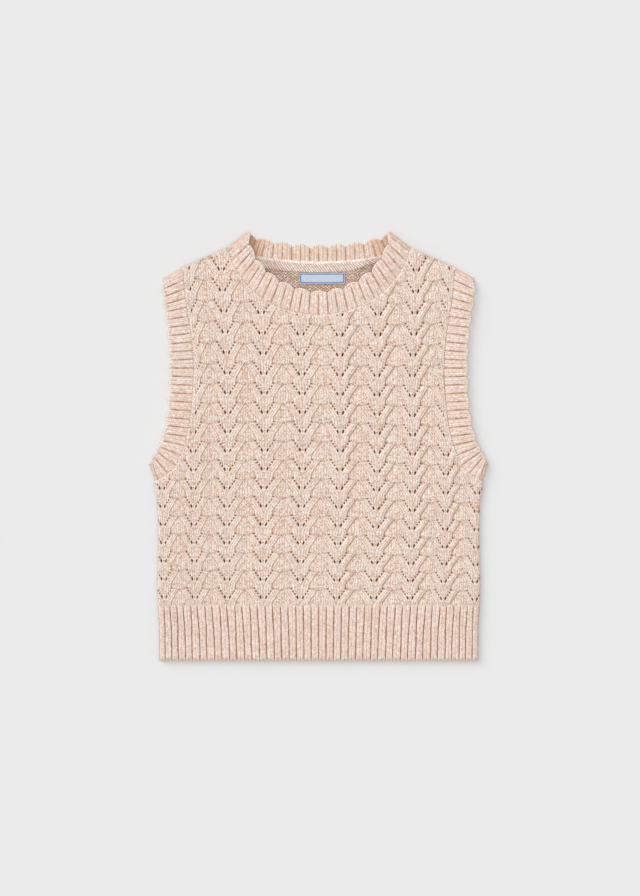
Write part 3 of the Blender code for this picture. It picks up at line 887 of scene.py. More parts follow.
def rib_marks():
    tree, given, result = new_group(
        "Rib marks",
        [("Place", VECTOR, None), ("Scallop", NUMBER, 0.0), ("Start", NUMBER, 0.62)],
        [(name, NUMBER) for name in ("GrooveShade", "Wale", "Course", "RimHighlight")],
    )
    rib, from_edge = split(tree, given["Place"])
    unevenness = maths(tree, "SUBTRACT", noise(tree, 260.0, object_place(tree), 1.0), 0.5)
    share = maths(tree, "FRACT", maths(tree, "MULTIPLY_ADD", unevenness, 0.3, rib))
    off_middle = maths(tree, "ABSOLUTE", maths(tree, "MULTIPLY_ADD", share, 2.0, -1.0))
    past_rim = fade(tree, maths(tree, "SUBTRACT", from_edge, given["Scallop"]), 0.0, 3.6)
    below_join = fade(tree, from_edge, HEM_TOP - HEM_FOOT - 3.0, HEM_TOP - HEM_FOOT, 1.0, 0.0)
    # The grooves between ribs and the cast-on loops are painted in shade.
    groove = fade(tree, off_middle, given["Start"], 0.97)
    for part in (fade(tree, unevenness, -0.12, 0.12, 0.4, 1.0), below_join, past_rim):
        groove = maths(tree, "MULTIPLY", groove, part)
    turns = maths(tree, "MULTIPLY_ADD", rib, 3.0, maths(tree, "MULTIPLY", from_edge, 0.4))
    loops = fade(tree, wave(tree, turns, 1.0), 0.1, 0.9, 0.0, 0.5)
    loops = maths(tree, "MULTIPLY", loops, fade(tree, from_edge, 2.0, 3.0, 1.0, 0.0))
    connect(tree, maths(tree, "MAXIMUM", groove, loops), result["GrooveShade"])
    connect(tree, maths(tree, "MULTIPLY", rib, WALES_IN_RIB), result["Wale"])
    connect(tree, maths(tree, "DIVIDE", from_edge, RIB_STITCH_HEIGHT), result["Course"])
    # Painted highlight along the scalloped rim, which catches the light.
    connect(tree, fade(tree, from_edge, 0.8, 1.9, 2.0, 0.0), result["RimHighlight"])
    return tree


RIBS = rib_marks()


def rib_finish(name, groove_shade, groove_start, **colours):
    material, tree, shader = new_shader(name, YARN_SHADER)
    marks = use_group(tree, RIBS, Place=knit_place(tree), Scallop=stored(tree, "scallop"),
                      Start=groove_start)
    stitches = use_group(tree, STITCHES, Wale=marks["Wale"], Course=marks["Course"])
    # Painted shade in the grooves, between the stitches and where the band stores painted shade.
    painted_shade = maths(tree, "MULTIPLY_ADD", marks["GrooveShade"], groove_shade,
                   valleys(tree, stitches, 0.8, 0.6), clamp=True)
    painted_shade = maths(tree, "MULTIPLY_ADD", stored(tree, "painted_shade"), 0.8, painted_shade, clamp=True)
    cover_with_yarn(tree, shader, stitches, Hollow=painted_shade, Light=marks["RimHighlight"], Speckle=0.75,
                    **colours)
    return material


band_knit = rib_finish("band rib knit", 0.5, 0.58, Shade=(0.50, 0.285, 0.165, 1.0),
                       Cream=(0.97, 0.89, 0.825, 1.0), Beige=(0.81, 0.645, 0.555, 1.0))
hem_knit = rib_finish("hem rib knit", 0.85, 0.74, Shade=(0.44, 0.235, 0.13, 1.0),
                      Cream=(0.95, 0.87, 0.80, 1.0), Beige=(0.80, 0.635, 0.545, 1.0))
print("rib knits:", band_knit.name, "and", hem_knit.name)

# %% The inside of the knitting
PURL_WIDTH = 3.8
PURL_HEIGHT = 2.8
# The inside's cream and beige are darker copies of the yarn's colours, painted shade for the inside
# that lies under the front.
SHADED_INSIDE_CREAM = (0.80, 0.64, 0.55, 1.0)
SHADED_INSIDE_BEIGE = (0.46, 0.31, 0.235, 1.0)
INSIDE_SHADE = (0.14, 0.07, 0.04, 1.0)


def inside_finish(name):
    material, tree, shader = new_shader(name, YARN_SHADER)
    x, y = split(tree, knit_place(tree))
    stitches = use_group(tree, PURL, Wale=maths(tree, "DIVIDE", x, PURL_WIDTH),
                         Course=maths(tree, "DIVIDE", y, PURL_HEIGHT))
    # Painted shade in the valleys between the bumps and where the piece stores painted shade.
    painted_shade = maths(tree, "ADD", valleys(tree, stitches, 0.7, 1.1), stored(tree, "painted_shade"),
                   clamp=True)
    cover_with_yarn(tree, shader, stitches, bump=0.8, Cream=SHADED_INSIDE_CREAM, Beige=SHADED_INSIDE_BEIGE,
                    Shade=INSIDE_SHADE, Hollow=painted_shade, Speckle=1.6)
    return material


inside_knit = inside_finish("inside of the knit in painted shade")
print("inside:", len(inside_knit.node_tree.nodes), "nodes")

# %% [markdown]
# ## Where the lace lies
#
# The columns of the lace aren't evenly wide, and blocking has pulled them a few millimetres out of
# line: they fan out beside the neck and sag a little on one side. Two small tables say how far,
# at six places across and six heights, and a smooth curve through them moves everything between.

# %% Columns, rows and how far they are pulled
LACE_LINES = (0.0, 37.0, 73.8, 108.5, 140.5, 172.0)
LOWEST_PAIR = -150.0
ROW_PITCH = 17.9
ROW_GROWTH = 0.0726
PULL_COLUMN_START = -160.0
PULL_COLUMN_STEP = 64.0
PULL_ROW_STEP = 4.0
PULL_ACROSS = np.array((
    (1.7, -0.2, 0.1, -0.7, 0.2, -0.4),
    (0.5, -1.0, 0.5, 1.2, 2.2, 1.6),
    (-1.6, -0.2, 2.2, 3.2, 2.8, 3.0),
    (-3.2, -0.5, 1.0, 3.0, 2.6, 5.0),
    (-7.1, -5.3, -1.7, 3.2, 6.0, 8.8),
    (-13.1, -9.7, -4.2, 2.3, 8.5, 13.6),
))
PULL_UP = np.array((
    (0.7, 0.5, 0.1, -0.1, -0.3, -1.6),
    (0.5, 0.5, 0.4, -0.9, -3.6, -4.6),
    (-1.7, -0.9, 0.0, -1.1, -4.3, -5.2),
    (-0.9, -0.3, -1.1, -2.4, -2.8, -1.6),
    (3.7, 3.1, 0.2, -0.8, 1.6, 4.4),
    (8.0, 5.4, 3.3, 3.5, 6.1, 9.5),
))


PULL_POINTS = len(PULL_ACROSS)


def curve_weights(place):
    """How much each point of a table adds to the smooth curve through them at each place."""
    index = np.clip(np.floor(place).astype(int), 0, PULL_POINTS - 2)
    share = place - index
    weights = np.zeros((len(place), PULL_POINTS))
    parts = (
        -0.5 * share + share ** 2 - 0.5 * share ** 3,
        1.0 - 2.5 * share ** 2 + 1.5 * share ** 3,
        0.5 * share + 2.0 * share ** 2 - 1.5 * share ** 3,
        -0.5 * share ** 2 + 0.5 * share ** 3,
    )
    for step, part in zip((-1, 0, 1, 2), parts):
        point = np.clip(index + step, 0, PULL_POINTS - 1)
        np.add.at(weights, (np.arange(len(place)), point), part)
    return weights


def lace_places(across, rows):
    """Where a net of lace places lies on the vest. Both results are (across, rows) arrays."""
    by_column = curve_weights((across - PULL_COLUMN_START) / PULL_COLUMN_STEP)
    by_row = curve_weights(rows / PULL_ROW_STEP)
    x = across[:, None] + by_column @ PULL_ACROSS.T @ by_row.T
    climb = LOWEST_PAIR + ROW_PITCH * rows + ROW_GROWTH * rows ** 2
    y = climb[None, :] + by_column @ PULL_UP.T @ by_row.T
    return x, y


print("furthest pull, mm:", np.abs(PULL_ACROSS).max(), "across,", np.abs(PULL_UP).max(), "up")

# %% The net of the lace
HALF_PLACES = np.array((
    1.0, 1.7, 2.2, 2.7, 3.3, 4.2, 5.2, 6.2, 7.2, 8.2, 9.1, 10.6, 12.2, 13.8, 15.5,
))
ROW_PLACES = np.array((
    -9.8, -9.2, -8.4, -7.2, -5.8, -4.6, -3.6, -2.4, -1.4, -0.5, 0.5, 1.4, 2.6, 3.8, 5.2, 6.6, 8.0,
))
FIRST_MOTIF = -1
MOTIFS_UP = 20
LOWEST_ROW = -0.75


def lace_columns():
    """Places across the vest for the net's columns, from left to right, in millimetres."""
    right = []
    for near, far in zip(LACE_LINES, LACE_LINES[1:]):
        middle = (near + far) / 2
        half = (far - near) / 2
        steps = half * HALF_PLACES / MOTIF_HALF
        right += [near, *(middle - steps[::-1]), middle, *(middle + steps)]
    right = np.array(right + [LACE_LINES[-1]])
    return np.concatenate((-right[:0:-1], right))


across = lace_columns()
rows = np.concatenate([
    motif + ROW_PLACES / MOTIF_HEIGHT for motif in range(FIRST_MOTIF, MOTIFS_UP)
])
rows = rows[rows > LOWEST_ROW]
lace_x, lace_y = lace_places(across, rows)
print("lace net:", len(across), "columns,", len(rows), "rows")


# %% [markdown]
# ## The outline of a panel
#
# Both panels follow the same armholes and sides and differ at the neck. We need to know for each
# point of the net whether it is inside the outline and how far it is from each seam, because the
# cloth rounds down there. The vest is symmetrical, so all of this is done on its right half.

# %% Distances from seams
FOLD_WALL = 3.0
TAPE_LIFT = 1.2
ARM_FOLD_REACH = LAYER_GAP / 2 + FOLD_WALL
NECK_FOLD_REACH = (LAYER_GAP + TAPE_LIFT) / 2 + FOLD_WALL


def past_end(line, partner, reach):
    """A point that runs on past a line's last one, square to the band there."""
    band = (partner[-1] - line[-1]) / np.linalg.norm(partner[-1] - line[-1])
    square = np.array((-band[1], band[0]))
    onward = line[-1] - line[-2]
    return line[-1] + square * reach * (1.0 if square @ onward > 0 else -1.0)


def neck_half(seam_curve, edge_curve):
    """The right half of a neck seam, from the middle to past the shoulder fold."""
    seam = neck_line(seam_curve)
    edge = neck_line(edge_curve)
    half = seam[len(seam) // 2:]
    return np.concatenate(([(0.0, half[0, 1])], half, [past_end(seam, edge, NECK_FOLD_REACH)]))


def armhole_half():
    """The right armhole seam, from past the underarm fold to past the shoulder fold."""
    up_seam = armhole_seam[::-1]
    foot = past_end(armhole_seam, armhole_edge, ARM_FOLD_REACH)
    head = past_end(up_seam, armhole_edge[::-1], ARM_FOLD_REACH)
    return np.concatenate(([foot], up_seam, [head]))


def side_half(foot):
    """The right side of the body from a height up to the underarm."""
    heights = np.array([foot] + [height for height in SIDE_HEIGHTS if height > foot])
    return np.stack([side_half_width(heights), heights], axis=1)[:-1]


def outline_half(seam_curve, edge_curve, foot):
    """The right half of a panel, from its foot round to the middle of the neck."""
    neck = neck_half(seam_curve, edge_curve)[::-1]
    return np.concatenate(([(0.0, foot)], side_half(foot), armhole_half(), neck))


def distance_to(x, y, line):
    """The distance of points from a line, and how far along it they lie."""
    points = np.stack([np.abs(x).ravel(), y.ravel()], axis=1)
    best = np.full(len(points), 1e9)
    along = np.zeros(len(points))
    for start, end, mark in zip(line, line[1:], distances(line)):
        step = end - start
        length = max(float(np.linalg.norm(step)), 1e-6)
        place = np.clip((points - start) @ step / length ** 2, 0.0, 1.0)
        away = np.linalg.norm(points - start - place[:, None] * step, axis=1)
        nearer = away < best
        best = np.where(nearer, away, best)
        along = np.where(nearer, mark + place * length, along)
    return best.reshape(x.shape), along.reshape(x.shape)


def is_inside(x, y, outline):
    """Whether points lie within a closed outline of the right half."""
    x = np.abs(x)
    inside = np.zeros(x.shape, dtype=bool)
    for (x0, y0), (x1, y1) in zip(outline, np.roll(outline, -1, axis=0)):
        if y0 != y1:
            crosses = (y0 > y) != (y1 > y)
            inside ^= crosses & (x < x0 + (x1 - x0) * (y - y0) / (y1 - y0))
    return inside


FRONT_FOOT = HEM_TOP + 0.03
front_outline = outline_half(FRONT_SEAM, FRONT_EDGE, FRONT_FOOT)
print("half outline:", len(front_outline), "points")


# %% [markdown]
# ## The front
#
# The front is one panel of lace that runs from the hem's ribs up to its seams. It could be cut out
# of a flat sheet with a boolean, but that leaves ragged faces along the seams. So it starts as the
# net of the lace, and its corners are lifted by the chart of the repeat. Close to a seam one row
# of plain edge stitches takes over, the holes fade out before it, and at the sides the cloth
# rounds down to the back layer. Faces outside the outline are deleted, and the corners left on the
# rim are drawn onto the outline itself, which gives a clean edge with whole stitches.

# %% Places in the motif
def motif_places(across, rows):
    """Each corner's place to the side of its column's middle and its height in the repeat."""
    lines = np.array(LACE_LINES)
    column = np.searchsorted(lines, np.abs(across), side="right") - 1
    column = np.clip(column, 0, len(lines) - 2)
    middle = (lines[column] + lines[column + 1]) / 2
    half = (lines[column + 1] - lines[column]) / 2
    side = (np.abs(across) - middle) / half * MOTIF_HALF
    up = (rows * MOTIF_HEIGHT - MOTIF_FOOT) % MOTIF_HEIGHT + MOTIF_FOOT
    return side, up


def soft_waves(x, y):
    """A slow, shallow unevenness, as in cloth that was smoothed by hand."""
    return (
        0.16 * np.sin(x / 23.0 + 1.3) * np.sin(y / 31.0)
        + 0.10 * np.sin(x / 11.0 - y / 17.0)
        + 0.06 * np.sin(x / 5.3 + 0.7) * np.sin(y / 6.1 + 2.0)
    )


def column_sides():
    """For each strip of the net: its column's number, and its two edges from that one's middle."""
    lines = np.array(LACE_LINES)
    lines = np.concatenate((-lines[:0:-1], lines))
    column = np.searchsorted(lines, (across[1:] + across[:-1]) / 2) - 1
    middle = (lines[column] + lines[column + 1]) / 2
    scale = MOTIF_HALF / ((lines[column + 1] - lines[column]) / 2)
    return column, (across[:-1] - middle) * scale, (across[1:] - middle) * scale


print("strips of the net:", len(column_sides()[0]))


# %% Heights of the front
GROUND_WALL = 2.3
SEAM_RELIEF = 0.7
SEAM_DIP = 0.35
QUIET_RELIEF = 0.5
HEM_JOIN = 2.75
SIDE_ROUND = 3.6
SIDE_LEAST = 0.12


def below_underarm(height):
    """1 where the panel ends at the vest's side, 0 where it ends at an armhole."""
    return 1.0 - ease(height, -34.0, -30.0)


def front_surface():
    """Positions, places and marks for every corner of the net."""
    relief, painted_shade = lace_relief(*net(*motif_places(across, rows)))
    arm_seam, neck_seam = armhole_half(), neck_half(FRONT_SEAM, FRONT_EDGE)
    to_arm, arm_along = distance_to(lace_x, lace_y, arm_seam)
    to_neck, neck_along = distance_to(lace_x, lace_y, neck_seam)
    to_shoulder, _ = distance_to(lace_x, lace_y, np.stack([arm_seam[-1], neck_seam[-1]]))
    to_seam = np.minimum(to_arm, to_neck)
    plain = 1.0 - ease(to_seam, 1.2, 2.6)
    open_holes = np.minimum(ease(to_neck, 1.6, 3.0), ease(to_arm, 2.0, 5.5))
    quiet = 1.0 - np.minimum(open_holes, ease(to_shoulder, 0.6, 2.0))
    relief = mix(relief, np.maximum(relief, QUIET_RELIEF), quiet)
    height = GROUND_WALL + mix(relief, SEAM_RELIEF, plain) + soft_waves(lace_x, lace_y)
    height = height - SEAM_DIP * (1.0 - ease(to_seam, 0.0, 1.0))
    height = mix(HEM_JOIN, height, ease(lace_y - FRONT_FOOT, 0.0, 2.6))
    to_side = side_half_width(lace_y) - np.abs(lace_x)
    rounded = round_over(to_side, SIDE_ROUND, SIDE_LEAST)
    height = height * mix(1.0, rounded, below_underarm(lace_y))
    position = np.stack([lace_x, lace_y, FRONT_BASE + np.maximum(height, 0.3)], axis=2)
    edge_place = np.where((to_neck < to_arm)[..., None],
                          np.stack([to_neck, neck_along], axis=2),
                          np.stack([to_arm, arm_along], axis=2))
    # The recesses get painted shade, except in the plain edge stitches.
    marks = {"painted_shade": painted_shade * (1.0 - plain), "plain": plain, "quiet": quiet}
    return position, edge_place, marks


front_position, front_edge_place, front_marks = front_surface()
print("front, highest stitch, mm:", round(float(front_position[..., 2].max()), 2))


# %% Cut and finish the front
def rim_verts(bm):
    """The corners on the open rim of a sheet."""
    return [vert for vert in bm.verts if vert.is_boundary]


def nearest_on(line, x, y):
    """The point of a line of the right half nearest to a point."""
    point = np.array((abs(x), y))
    start = line[:-1]
    step = np.diff(line, axis=0)
    length = np.maximum((step ** 2).sum(axis=1), 1e-9)
    place = np.clip(((point - start) * step).sum(axis=1) / length, 0.0, 1.0)
    found = start + place[:, None] * step
    index = int(np.argmin(((found - point) ** 2).sum(axis=1)))
    return math.copysign(found[index, 0], x), found[index, 1]


def trim_to(bm, outline):
    """Delete what lies outside an outline and draw the rim onto it."""
    centres = np.array([face.calc_center_median()[:2] for face in bm.faces])
    inside = is_inside(centres[:, 0], centres[:, 1], outline)
    outside = [face for face, keep in zip(bm.faces, inside) if not keep]
    bmesh.ops.delete(bm, geom=outside, context="FACES")
    for vert in rim_verts(bm):
        vert.co.x, vert.co.y = nearest_on(outline, vert.co.x, vert.co.y)


COLUMN_START = 30 * MOTIF_HEIGHT  # more motifs than a column has, so that no two look alike


def map_lace(bm):
    """Store each corner's place in its own column, far from the place of any other column."""
    column, left, right = column_sides()
    layer = bm.loops.layers.uv.new("knit")
    for face in bm.faces:
        strip = min(corner_number(vert)[0] for vert in face.verts)
        for loop in face.loops:
            number, row = corner_number(loop.vert)
            side = left[strip] if number == strip else right[strip]
            loop[layer].uv = (side, rows[row] * MOTIF_HEIGHT + column[strip] * COLUMN_START)


def build_front():
    bm = knit_grid(len(across) - 1, len(rows) - 1)
    map_lace(bm)
    map_knit(bm, front_edge_place, "edge")
    for name, values in front_marks.items():
        mark_knit(bm, values, name)
    place_knit(bm, front_position)
    trim_to(bm, front_outline)
    close_underneath(bm, FRONT_BASE)
    return finish_knit("front", bm, lace_knit, "front_panel")


front = build_front()

# %% [markdown]
# ## The hem rib
#
# The rib is knitted on with the front: upright rounded ribs with narrow grooves between them. The
# ribs at the sides look narrower, because the cloth turns under there, and all of them lean a
# little. Ribs could be a bump in the material, but then the hem's outline and its shadow would be
# flat, so they are modelled. A grid with ten corners to a rib is enough for a round rib. Its foot
# is the first row that was cast on, a low bead of slanted stitches, and its top tucks against the
# lace.
# %% Ribs of the hem
HEM_RIBS = 44
RIB_CORNERS = 10
HEM_ROWS = 30


def rib_profile(rib):
    """The height of a rib: 0 in its grooves, 1 over most of its width."""
    off_middle = np.abs((rib % 1.0) * 2.0 - 1.0)
    return np.sqrt(np.clip(1.0 - off_middle ** 4, 0.0, 1.0))


def hem_places(rib, height):
    """Where ribs lie across the hem at some heights. The result is a (ribs, heights) array."""
    share = rib / (HEM_RIBS / 2) - 1.0
    spread = 1.05 * share - 0.05 * share ** 5
    drop = (HEM_TOP - height) / (HEM_TOP - HEM_FOOT)
    x = spread[:, None] * side_half_width(height)[None, :]
    lean = -2.0 * np.sin(share * math.pi)[:, None] * drop[None, :]
    waver = 0.35 * np.sin(share * 71.0)[:, None] * np.sin(drop * 5.0 + 1.0)[None, :]
    return x + (lean + waver) * (1.0 - share ** 8)[:, None]


HEM_GROUND = 2.1
HEM_RISE = 1.4


def hem_heights():
    """Heights of the hem's rows, which lie closer together at the foot."""
    fall = np.linspace(0.0, 1.0, HEM_ROWS + 1)
    closer = 1 - (1 - fall) ** 1.3 * 0.1 ** -0.3
    return HEM_TOP + (HEM_FOOT - HEM_TOP) * np.where(fall > 0.9, closer, fall)


def hem_surface():
    rib = np.arange(HEM_RIBS * RIB_CORNERS + 1) / RIB_CORNERS
    x = hem_places(rib, hem_heights())
    rib, height = net(rib, hem_heights())
    y = height - 0.35 * np.cos(rib * math.tau) * ease(-height, -HEM_FOOT - 2.0, -HEM_FOOT)
    from_foot = height - HEM_FOOT
    from_top = HEM_TOP - y
    start = 0.6 + 0.6 * np.sin(rib * 2.9)
    profile = rib_profile(rib) * ease(from_foot, 1.2, 3.4)
    profile = profile * ease(from_top, start - 1.0, start + 3.5)
    joint = (HEM_JOIN - HEM_GROUND) * (1.0 - ease(from_top, 0.0, 5.0))
    bead = 0.6 * (1.0 - ease(np.abs(from_foot - 1.3), 0.3, 1.6))
    level = HEM_GROUND + joint + (HEM_RISE - joint) * profile + bead
    level = level * round_over(from_foot + 0.25, 1.6, 0.0)
    to_side = side_half_width(height) - np.abs(x)
    level = level * round_over(to_side, SIDE_ROUND, SIDE_LEAST) + 0.5 * soft_waves(x, y)
    y = np.maximum(y, HEM_FOOT - 0.4)
    position = np.stack([x, y, FRONT_BASE + np.maximum(level, 0.25)], axis=2)
    return position, np.stack([rib, from_foot], axis=2)


def mark_even(bm, shape):
    """Mark that a piece has neither deeper shade nor scallops."""
    for name in ("painted_shade", "scallop"):
        mark_knit(bm, np.zeros(shape), name)


def build_front_hem():
    position, place = hem_surface()
    columns, levels, _ = position.shape
    bm = knit_grid(columns - 1, levels - 1)
    map_knit(bm, place)
    mark_even(bm, (columns, levels))
    place_knit(bm, position)
    close_underneath(bm, FRONT_BASE)
    return finish_knit("front-hem", bm, hem_knit, "front_hem_rib")


front_hem = build_front_hem()

# %% [markdown]
# ## The ribbed bands
#
# Each band is a ring of ribbing picked up along a seam. On the front its ribs face us, at the
# shoulder or the underarm it folds over, and behind it comes back on the inside. A curve with a
# bevel would give an even ring, but this one changes all the way round: ribs, scallops, folds and
# a flat back. So we describe one cut across the band, as a rounded outline from its scalloped edge
# to its seam, and carry it all round the ring. The grid that holds these cuts is rolled into a
# closed tube by giving its first and last rows the same places and merging them.

# %% The cut across a band
RIB_CREST = 3.6
RIB_GROOVE = 2.3
INSIDE_GROOVE = 1.0
PANEL_TOP = 2.65
NOTCH = 0.9
# from_tip is a distance in from the scallop's tip, share adds a part of the band's width to it,
# and level is the height as a part of the wall.
BandPoint = namedtuple("BandPoint", "from_tip share level")
BAND_CUT = (
    BandPoint(1.6, 0.0, 0.0),
    BandPoint(0.5, 0.0, 0.1),
    BandPoint(0.05, 0.0, 0.45),
    BandPoint(0.3, 0.0, 0.82),
    BandPoint(1.0, 0.0, 1.0),
    BandPoint(1.9, 0.0, 0.93),
    BandPoint(2.9, 0.0, 0.97),
    BandPoint(1.0, 0.2, 1.0),
    BandPoint(0.5, 0.34, 1.0),
    BandPoint(0.0, 0.48, 1.0),
    BandPoint(0.0, 0.62, 1.0),
    BandPoint(0.0, 0.76, 1.0),
    BandPoint(0.0, 0.88, 0.98),
    BandPoint(-0.9, 1.0, 1.0),
    BandPoint(-0.1, 1.0, 0.95),
    BandPoint(0.15, 1.0, 0.82),
    BandPoint(0.0, 1.0, 0.0),
    BandPoint(0.0, 0.5, 0.0),
    BandPoint(1.6, 0.0, 0.0),
)


class BandRun:
    """A stretch of band: pairs of edge and seam points with what changes along them.

    normal points out of the cloth and lift is how far the band stands off the back. outer and
    inner are its two faces, and crest, where it is given, is the height of its rim."""

    def __init__(self, edge, seam, rib, normal, lift, outer, inner, scallop, crest=None):
        count = len(edge)
        self.edge = edge
        self.seam = seam
        self.rib = np.zeros(count) + rib
        self.normal = np.zeros((count, 3)) + normal
        self.lift = np.zeros(count) + lift
        self.outer = np.zeros(count) + outer
        self.inner = np.zeros(count) + inner
        self.scallop = np.zeros(count) + scallop
        self.crest = self.outer if crest is None else np.zeros(count) + crest
        self.settle = self.outer if crest is None else PANEL_TOP - self.lift


def joined(runs, name):
    return np.concatenate([getattr(run, name) for run in runs])


def band_size(runs):
    """A band's length round the middle of its width, and its mean width."""
    edge, seam = joined(runs, "edge"), joined(runs, "seam")
    middle = (edge + seam) / 2
    width = np.linalg.norm(seam - edge, axis=1) + joined(runs, "scallop")
    return float(distances(np.concatenate((middle, middle[:1])))[-1]), float(width.mean())


def band_pairs(edge_line, seam_line, shares):
    """Edge and seam points at shares of the length of the band's middle line."""
    marks = distances((edge_line + seam_line) / 2)
    return [points_at(line, marks, shares * marks[-1]) for line in (edge_line, seam_line)]


def scallops(rib, phase, depth):
    """How far the edge stands out: one scallop over each two ribs, with a notch between them."""
    return (depth + NOTCH) * np.abs(np.sin(math.pi * (rib + phase) / 2)) ** 0.65 - NOTCH


print("cut across a band:", len(BAND_CUT), "points")


# %% Rolling the cuts into a ring
CLOSING_STEP = 0.2
MERGE_DISTANCE = 0.0005


def band_ring(name, runs, material, node, side=1.0, shade=None):
    """Carry the cut round all the runs of a band and close the tube. A side of -1 mirrors it."""
    edge, seam, normal = joined(runs, "edge"), joined(runs, "seam"), joined(runs, "normal")
    lift, outer, inner = joined(runs, "lift"), joined(runs, "outer"), joined(runs, "inner")
    tip, rib = -joined(runs, "scallop"), joined(runs, "rib")
    radius = (LAYER_GAP + lift) / 2
    width = np.linalg.norm(seam - edge, axis=1)
    count = len(edge)
    position = np.zeros((count + 1, len(BAND_CUT), 3))
    place = np.zeros((count + 1, len(BAND_CUT), 2))
    for index, point in enumerate(BAND_CUT):
        across = tip + point.from_tip + point.share * (width - tip)
        flat = edge + (seam - edge) * (across / width)[:, None]
        past_rim = ease(across, -0.5, 3.0)
        top = mix(joined(runs, "crest"), outer, past_rim)
        height = inner * past_rim + (top - inner * past_rim) * point.level
        settled = np.minimum(height, joined(runs, "settle") * point.level)
        height = mix(height, settled, float(ease(point.share, 0.6, 0.97)))
        position[:count, index, :2] = flat
        position[:count, index, 2] = BACK_WALL + radius
        position[:count, index] += normal * (radius + height)[:, None]
        place[:count, index] = np.stack([rib, across - tip], axis=1)
    position[..., 2] = np.maximum(position[..., 2], 0.0)
    position[count] = position[0]
    place[count] = place[0] + (rib[-1] + CLOSING_STEP - rib[0], 0.0)
    bm = knit_grid(count, len(BAND_CUT) - 1)
    map_knit(bm, place)
    reach = np.concatenate((-tip, -tip[:1]))[:, None] + 0 * place[..., 0]
    mark_knit(bm, reach, "scallop")
    place_knit(bm, position)
    bmesh.ops.remove_doubles(bm, verts=bm.verts, dist=MERGE_DISTANCE)
    bmesh.ops.scale(bm, vec=(side, 1.0, 1.0), verts=bm.verts)
    layer = bm.verts.layers.float.new("painted_shade")
    for vert in bm.verts:
        vert[layer] = shade(vert.co) if shade else 0.0
    return finish_knit(name, bm, material, node)


def fold_normals(edge_line, seam_line, from_front, steps=7):
    """Directions that turn from one face of a band to the other at the end of a line."""
    across = seam_line[-1] - edge_line[-1]
    across = across / np.linalg.norm(across)
    square = np.array((-across[1], across[0]))
    onward = (edge_line[-1] + seam_line[-1]) - (edge_line[-2] + seam_line[-2])
    outward = square * (1.0 if square @ onward > 0 else -1.0)
    angle = math.pi * np.arange(1, steps) / steps
    if not from_front:
        angle = math.pi - angle
    return np.stack([outward[0] * np.sin(angle), outward[1] * np.sin(angle), np.cos(angle)], axis=1)


UP = np.array((0.0, 0.0, 1.0))


def fold_run(edge_line, seam_line, from_front, rib, lift, scallop):
    """The stretch of band that folds over at the end of a line."""
    normals = fold_normals(edge_line, seam_line, from_front)
    ones = np.ones((len(normals), 1))
    return BandRun(edge_line[-1] * ones, seam_line[-1] * ones, rib + 0.5, normals, lift,
                   FOLD_WALL, 0.0, scallop)


def ring_of(front_run, back_run, edge_line, seam_line, front_ribs, all_ribs, lift, scallop):
    """The four stretches of a ring: its front, a fold, its back and a fold."""
    over = fold_run(edge_line, seam_line, True, front_ribs, lift, scallop)
    under = fold_run(edge_line[::-1], seam_line[::-1], False, all_ribs + 1, lift, scallop)
    return [front_run, over, back_run, under]


# %% Neckband
NECK_RIBS_FRONT = 24
NECK_RIBS_BACK = 16
NECK_SCALLOP = 2.8


def upright_pairs(shares):
    """Edge and seam points of the back neck, whose ribs stand upright but for the ends."""
    edge_line = neck_line(BACK_EDGE)[::-1]
    marks = distances(edge_line) / distances(edge_line)[-1]
    edge = points_at(edge_line, marks, shares)
    fan = (BACK_SEAM.reach - BACK_EDGE.reach) * (np.abs(edge[:, 0]) / BACK_EDGE.reach) ** 5
    x = edge[:, 0] + np.sign(edge[:, 0]) * fan
    return edge, np.stack([x, neck_height(BACK_SEAM, x)], axis=1)


def front_walls(rib):
    """The height of a band's front over its ribs."""
    return RIB_GROOVE + (RIB_CREST - RIB_GROOVE) * rib_profile(rib)


def neckband_runs():
    lines = neck_line(FRONT_EDGE), neck_line(FRONT_SEAM)
    rib = np.arange(NECK_RIBS_FRONT * RIB_CORNERS + 1) / RIB_CORNERS
    edge, seam = band_pairs(*lines, rib / NECK_RIBS_FRONT)
    lift = TAPE_LIFT * ease(np.abs(edge[:, 0]), 26.0, 44.0)
    front_run = BandRun(edge, seam, rib, UP, lift, front_walls(rib), 0.0,
                        scallops(rib, 1.0, NECK_SCALLOP), RIB_CREST)
    rib = np.arange(NECK_RIBS_BACK * RIB_CORNERS + 1) / RIB_CORNERS
    edge, seam = upright_pairs(rib / NECK_RIBS_BACK)
    inner = INSIDE_GROOVE * (1.0 - rib_profile(rib))
    back_run = BandRun(edge, seam, rib + NECK_RIBS_FRONT + 1, -UP, TAPE_LIFT, BACK_WALL, inner,
                       scallops(rib, 1.0, NECK_SCALLOP))
    return ring_of(front_run, back_run, *lines, NECK_RIBS_FRONT,
                   NECK_RIBS_FRONT + NECK_RIBS_BACK, TAPE_LIFT, NECK_SCALLOP)


def inside_shade(place):
    """How deep the inside of the neckband lies in the shade of the front."""
    if place.z > BACK_WALL + 1.4:
        return 0.0
    corner = ease(abs(place.x), 50.0, 66.0) * (1.0 if place.x < 0 else 0.7)
    return float(0.2 + 0.7 * corner)


neckband = band_ring("neckband-ribs", neckband_runs(), band_knit, "neckband", shade=inside_shade)

# %% Armhole bands
ARM_RIBS = 24
ARM_SCALLOP = 2.0


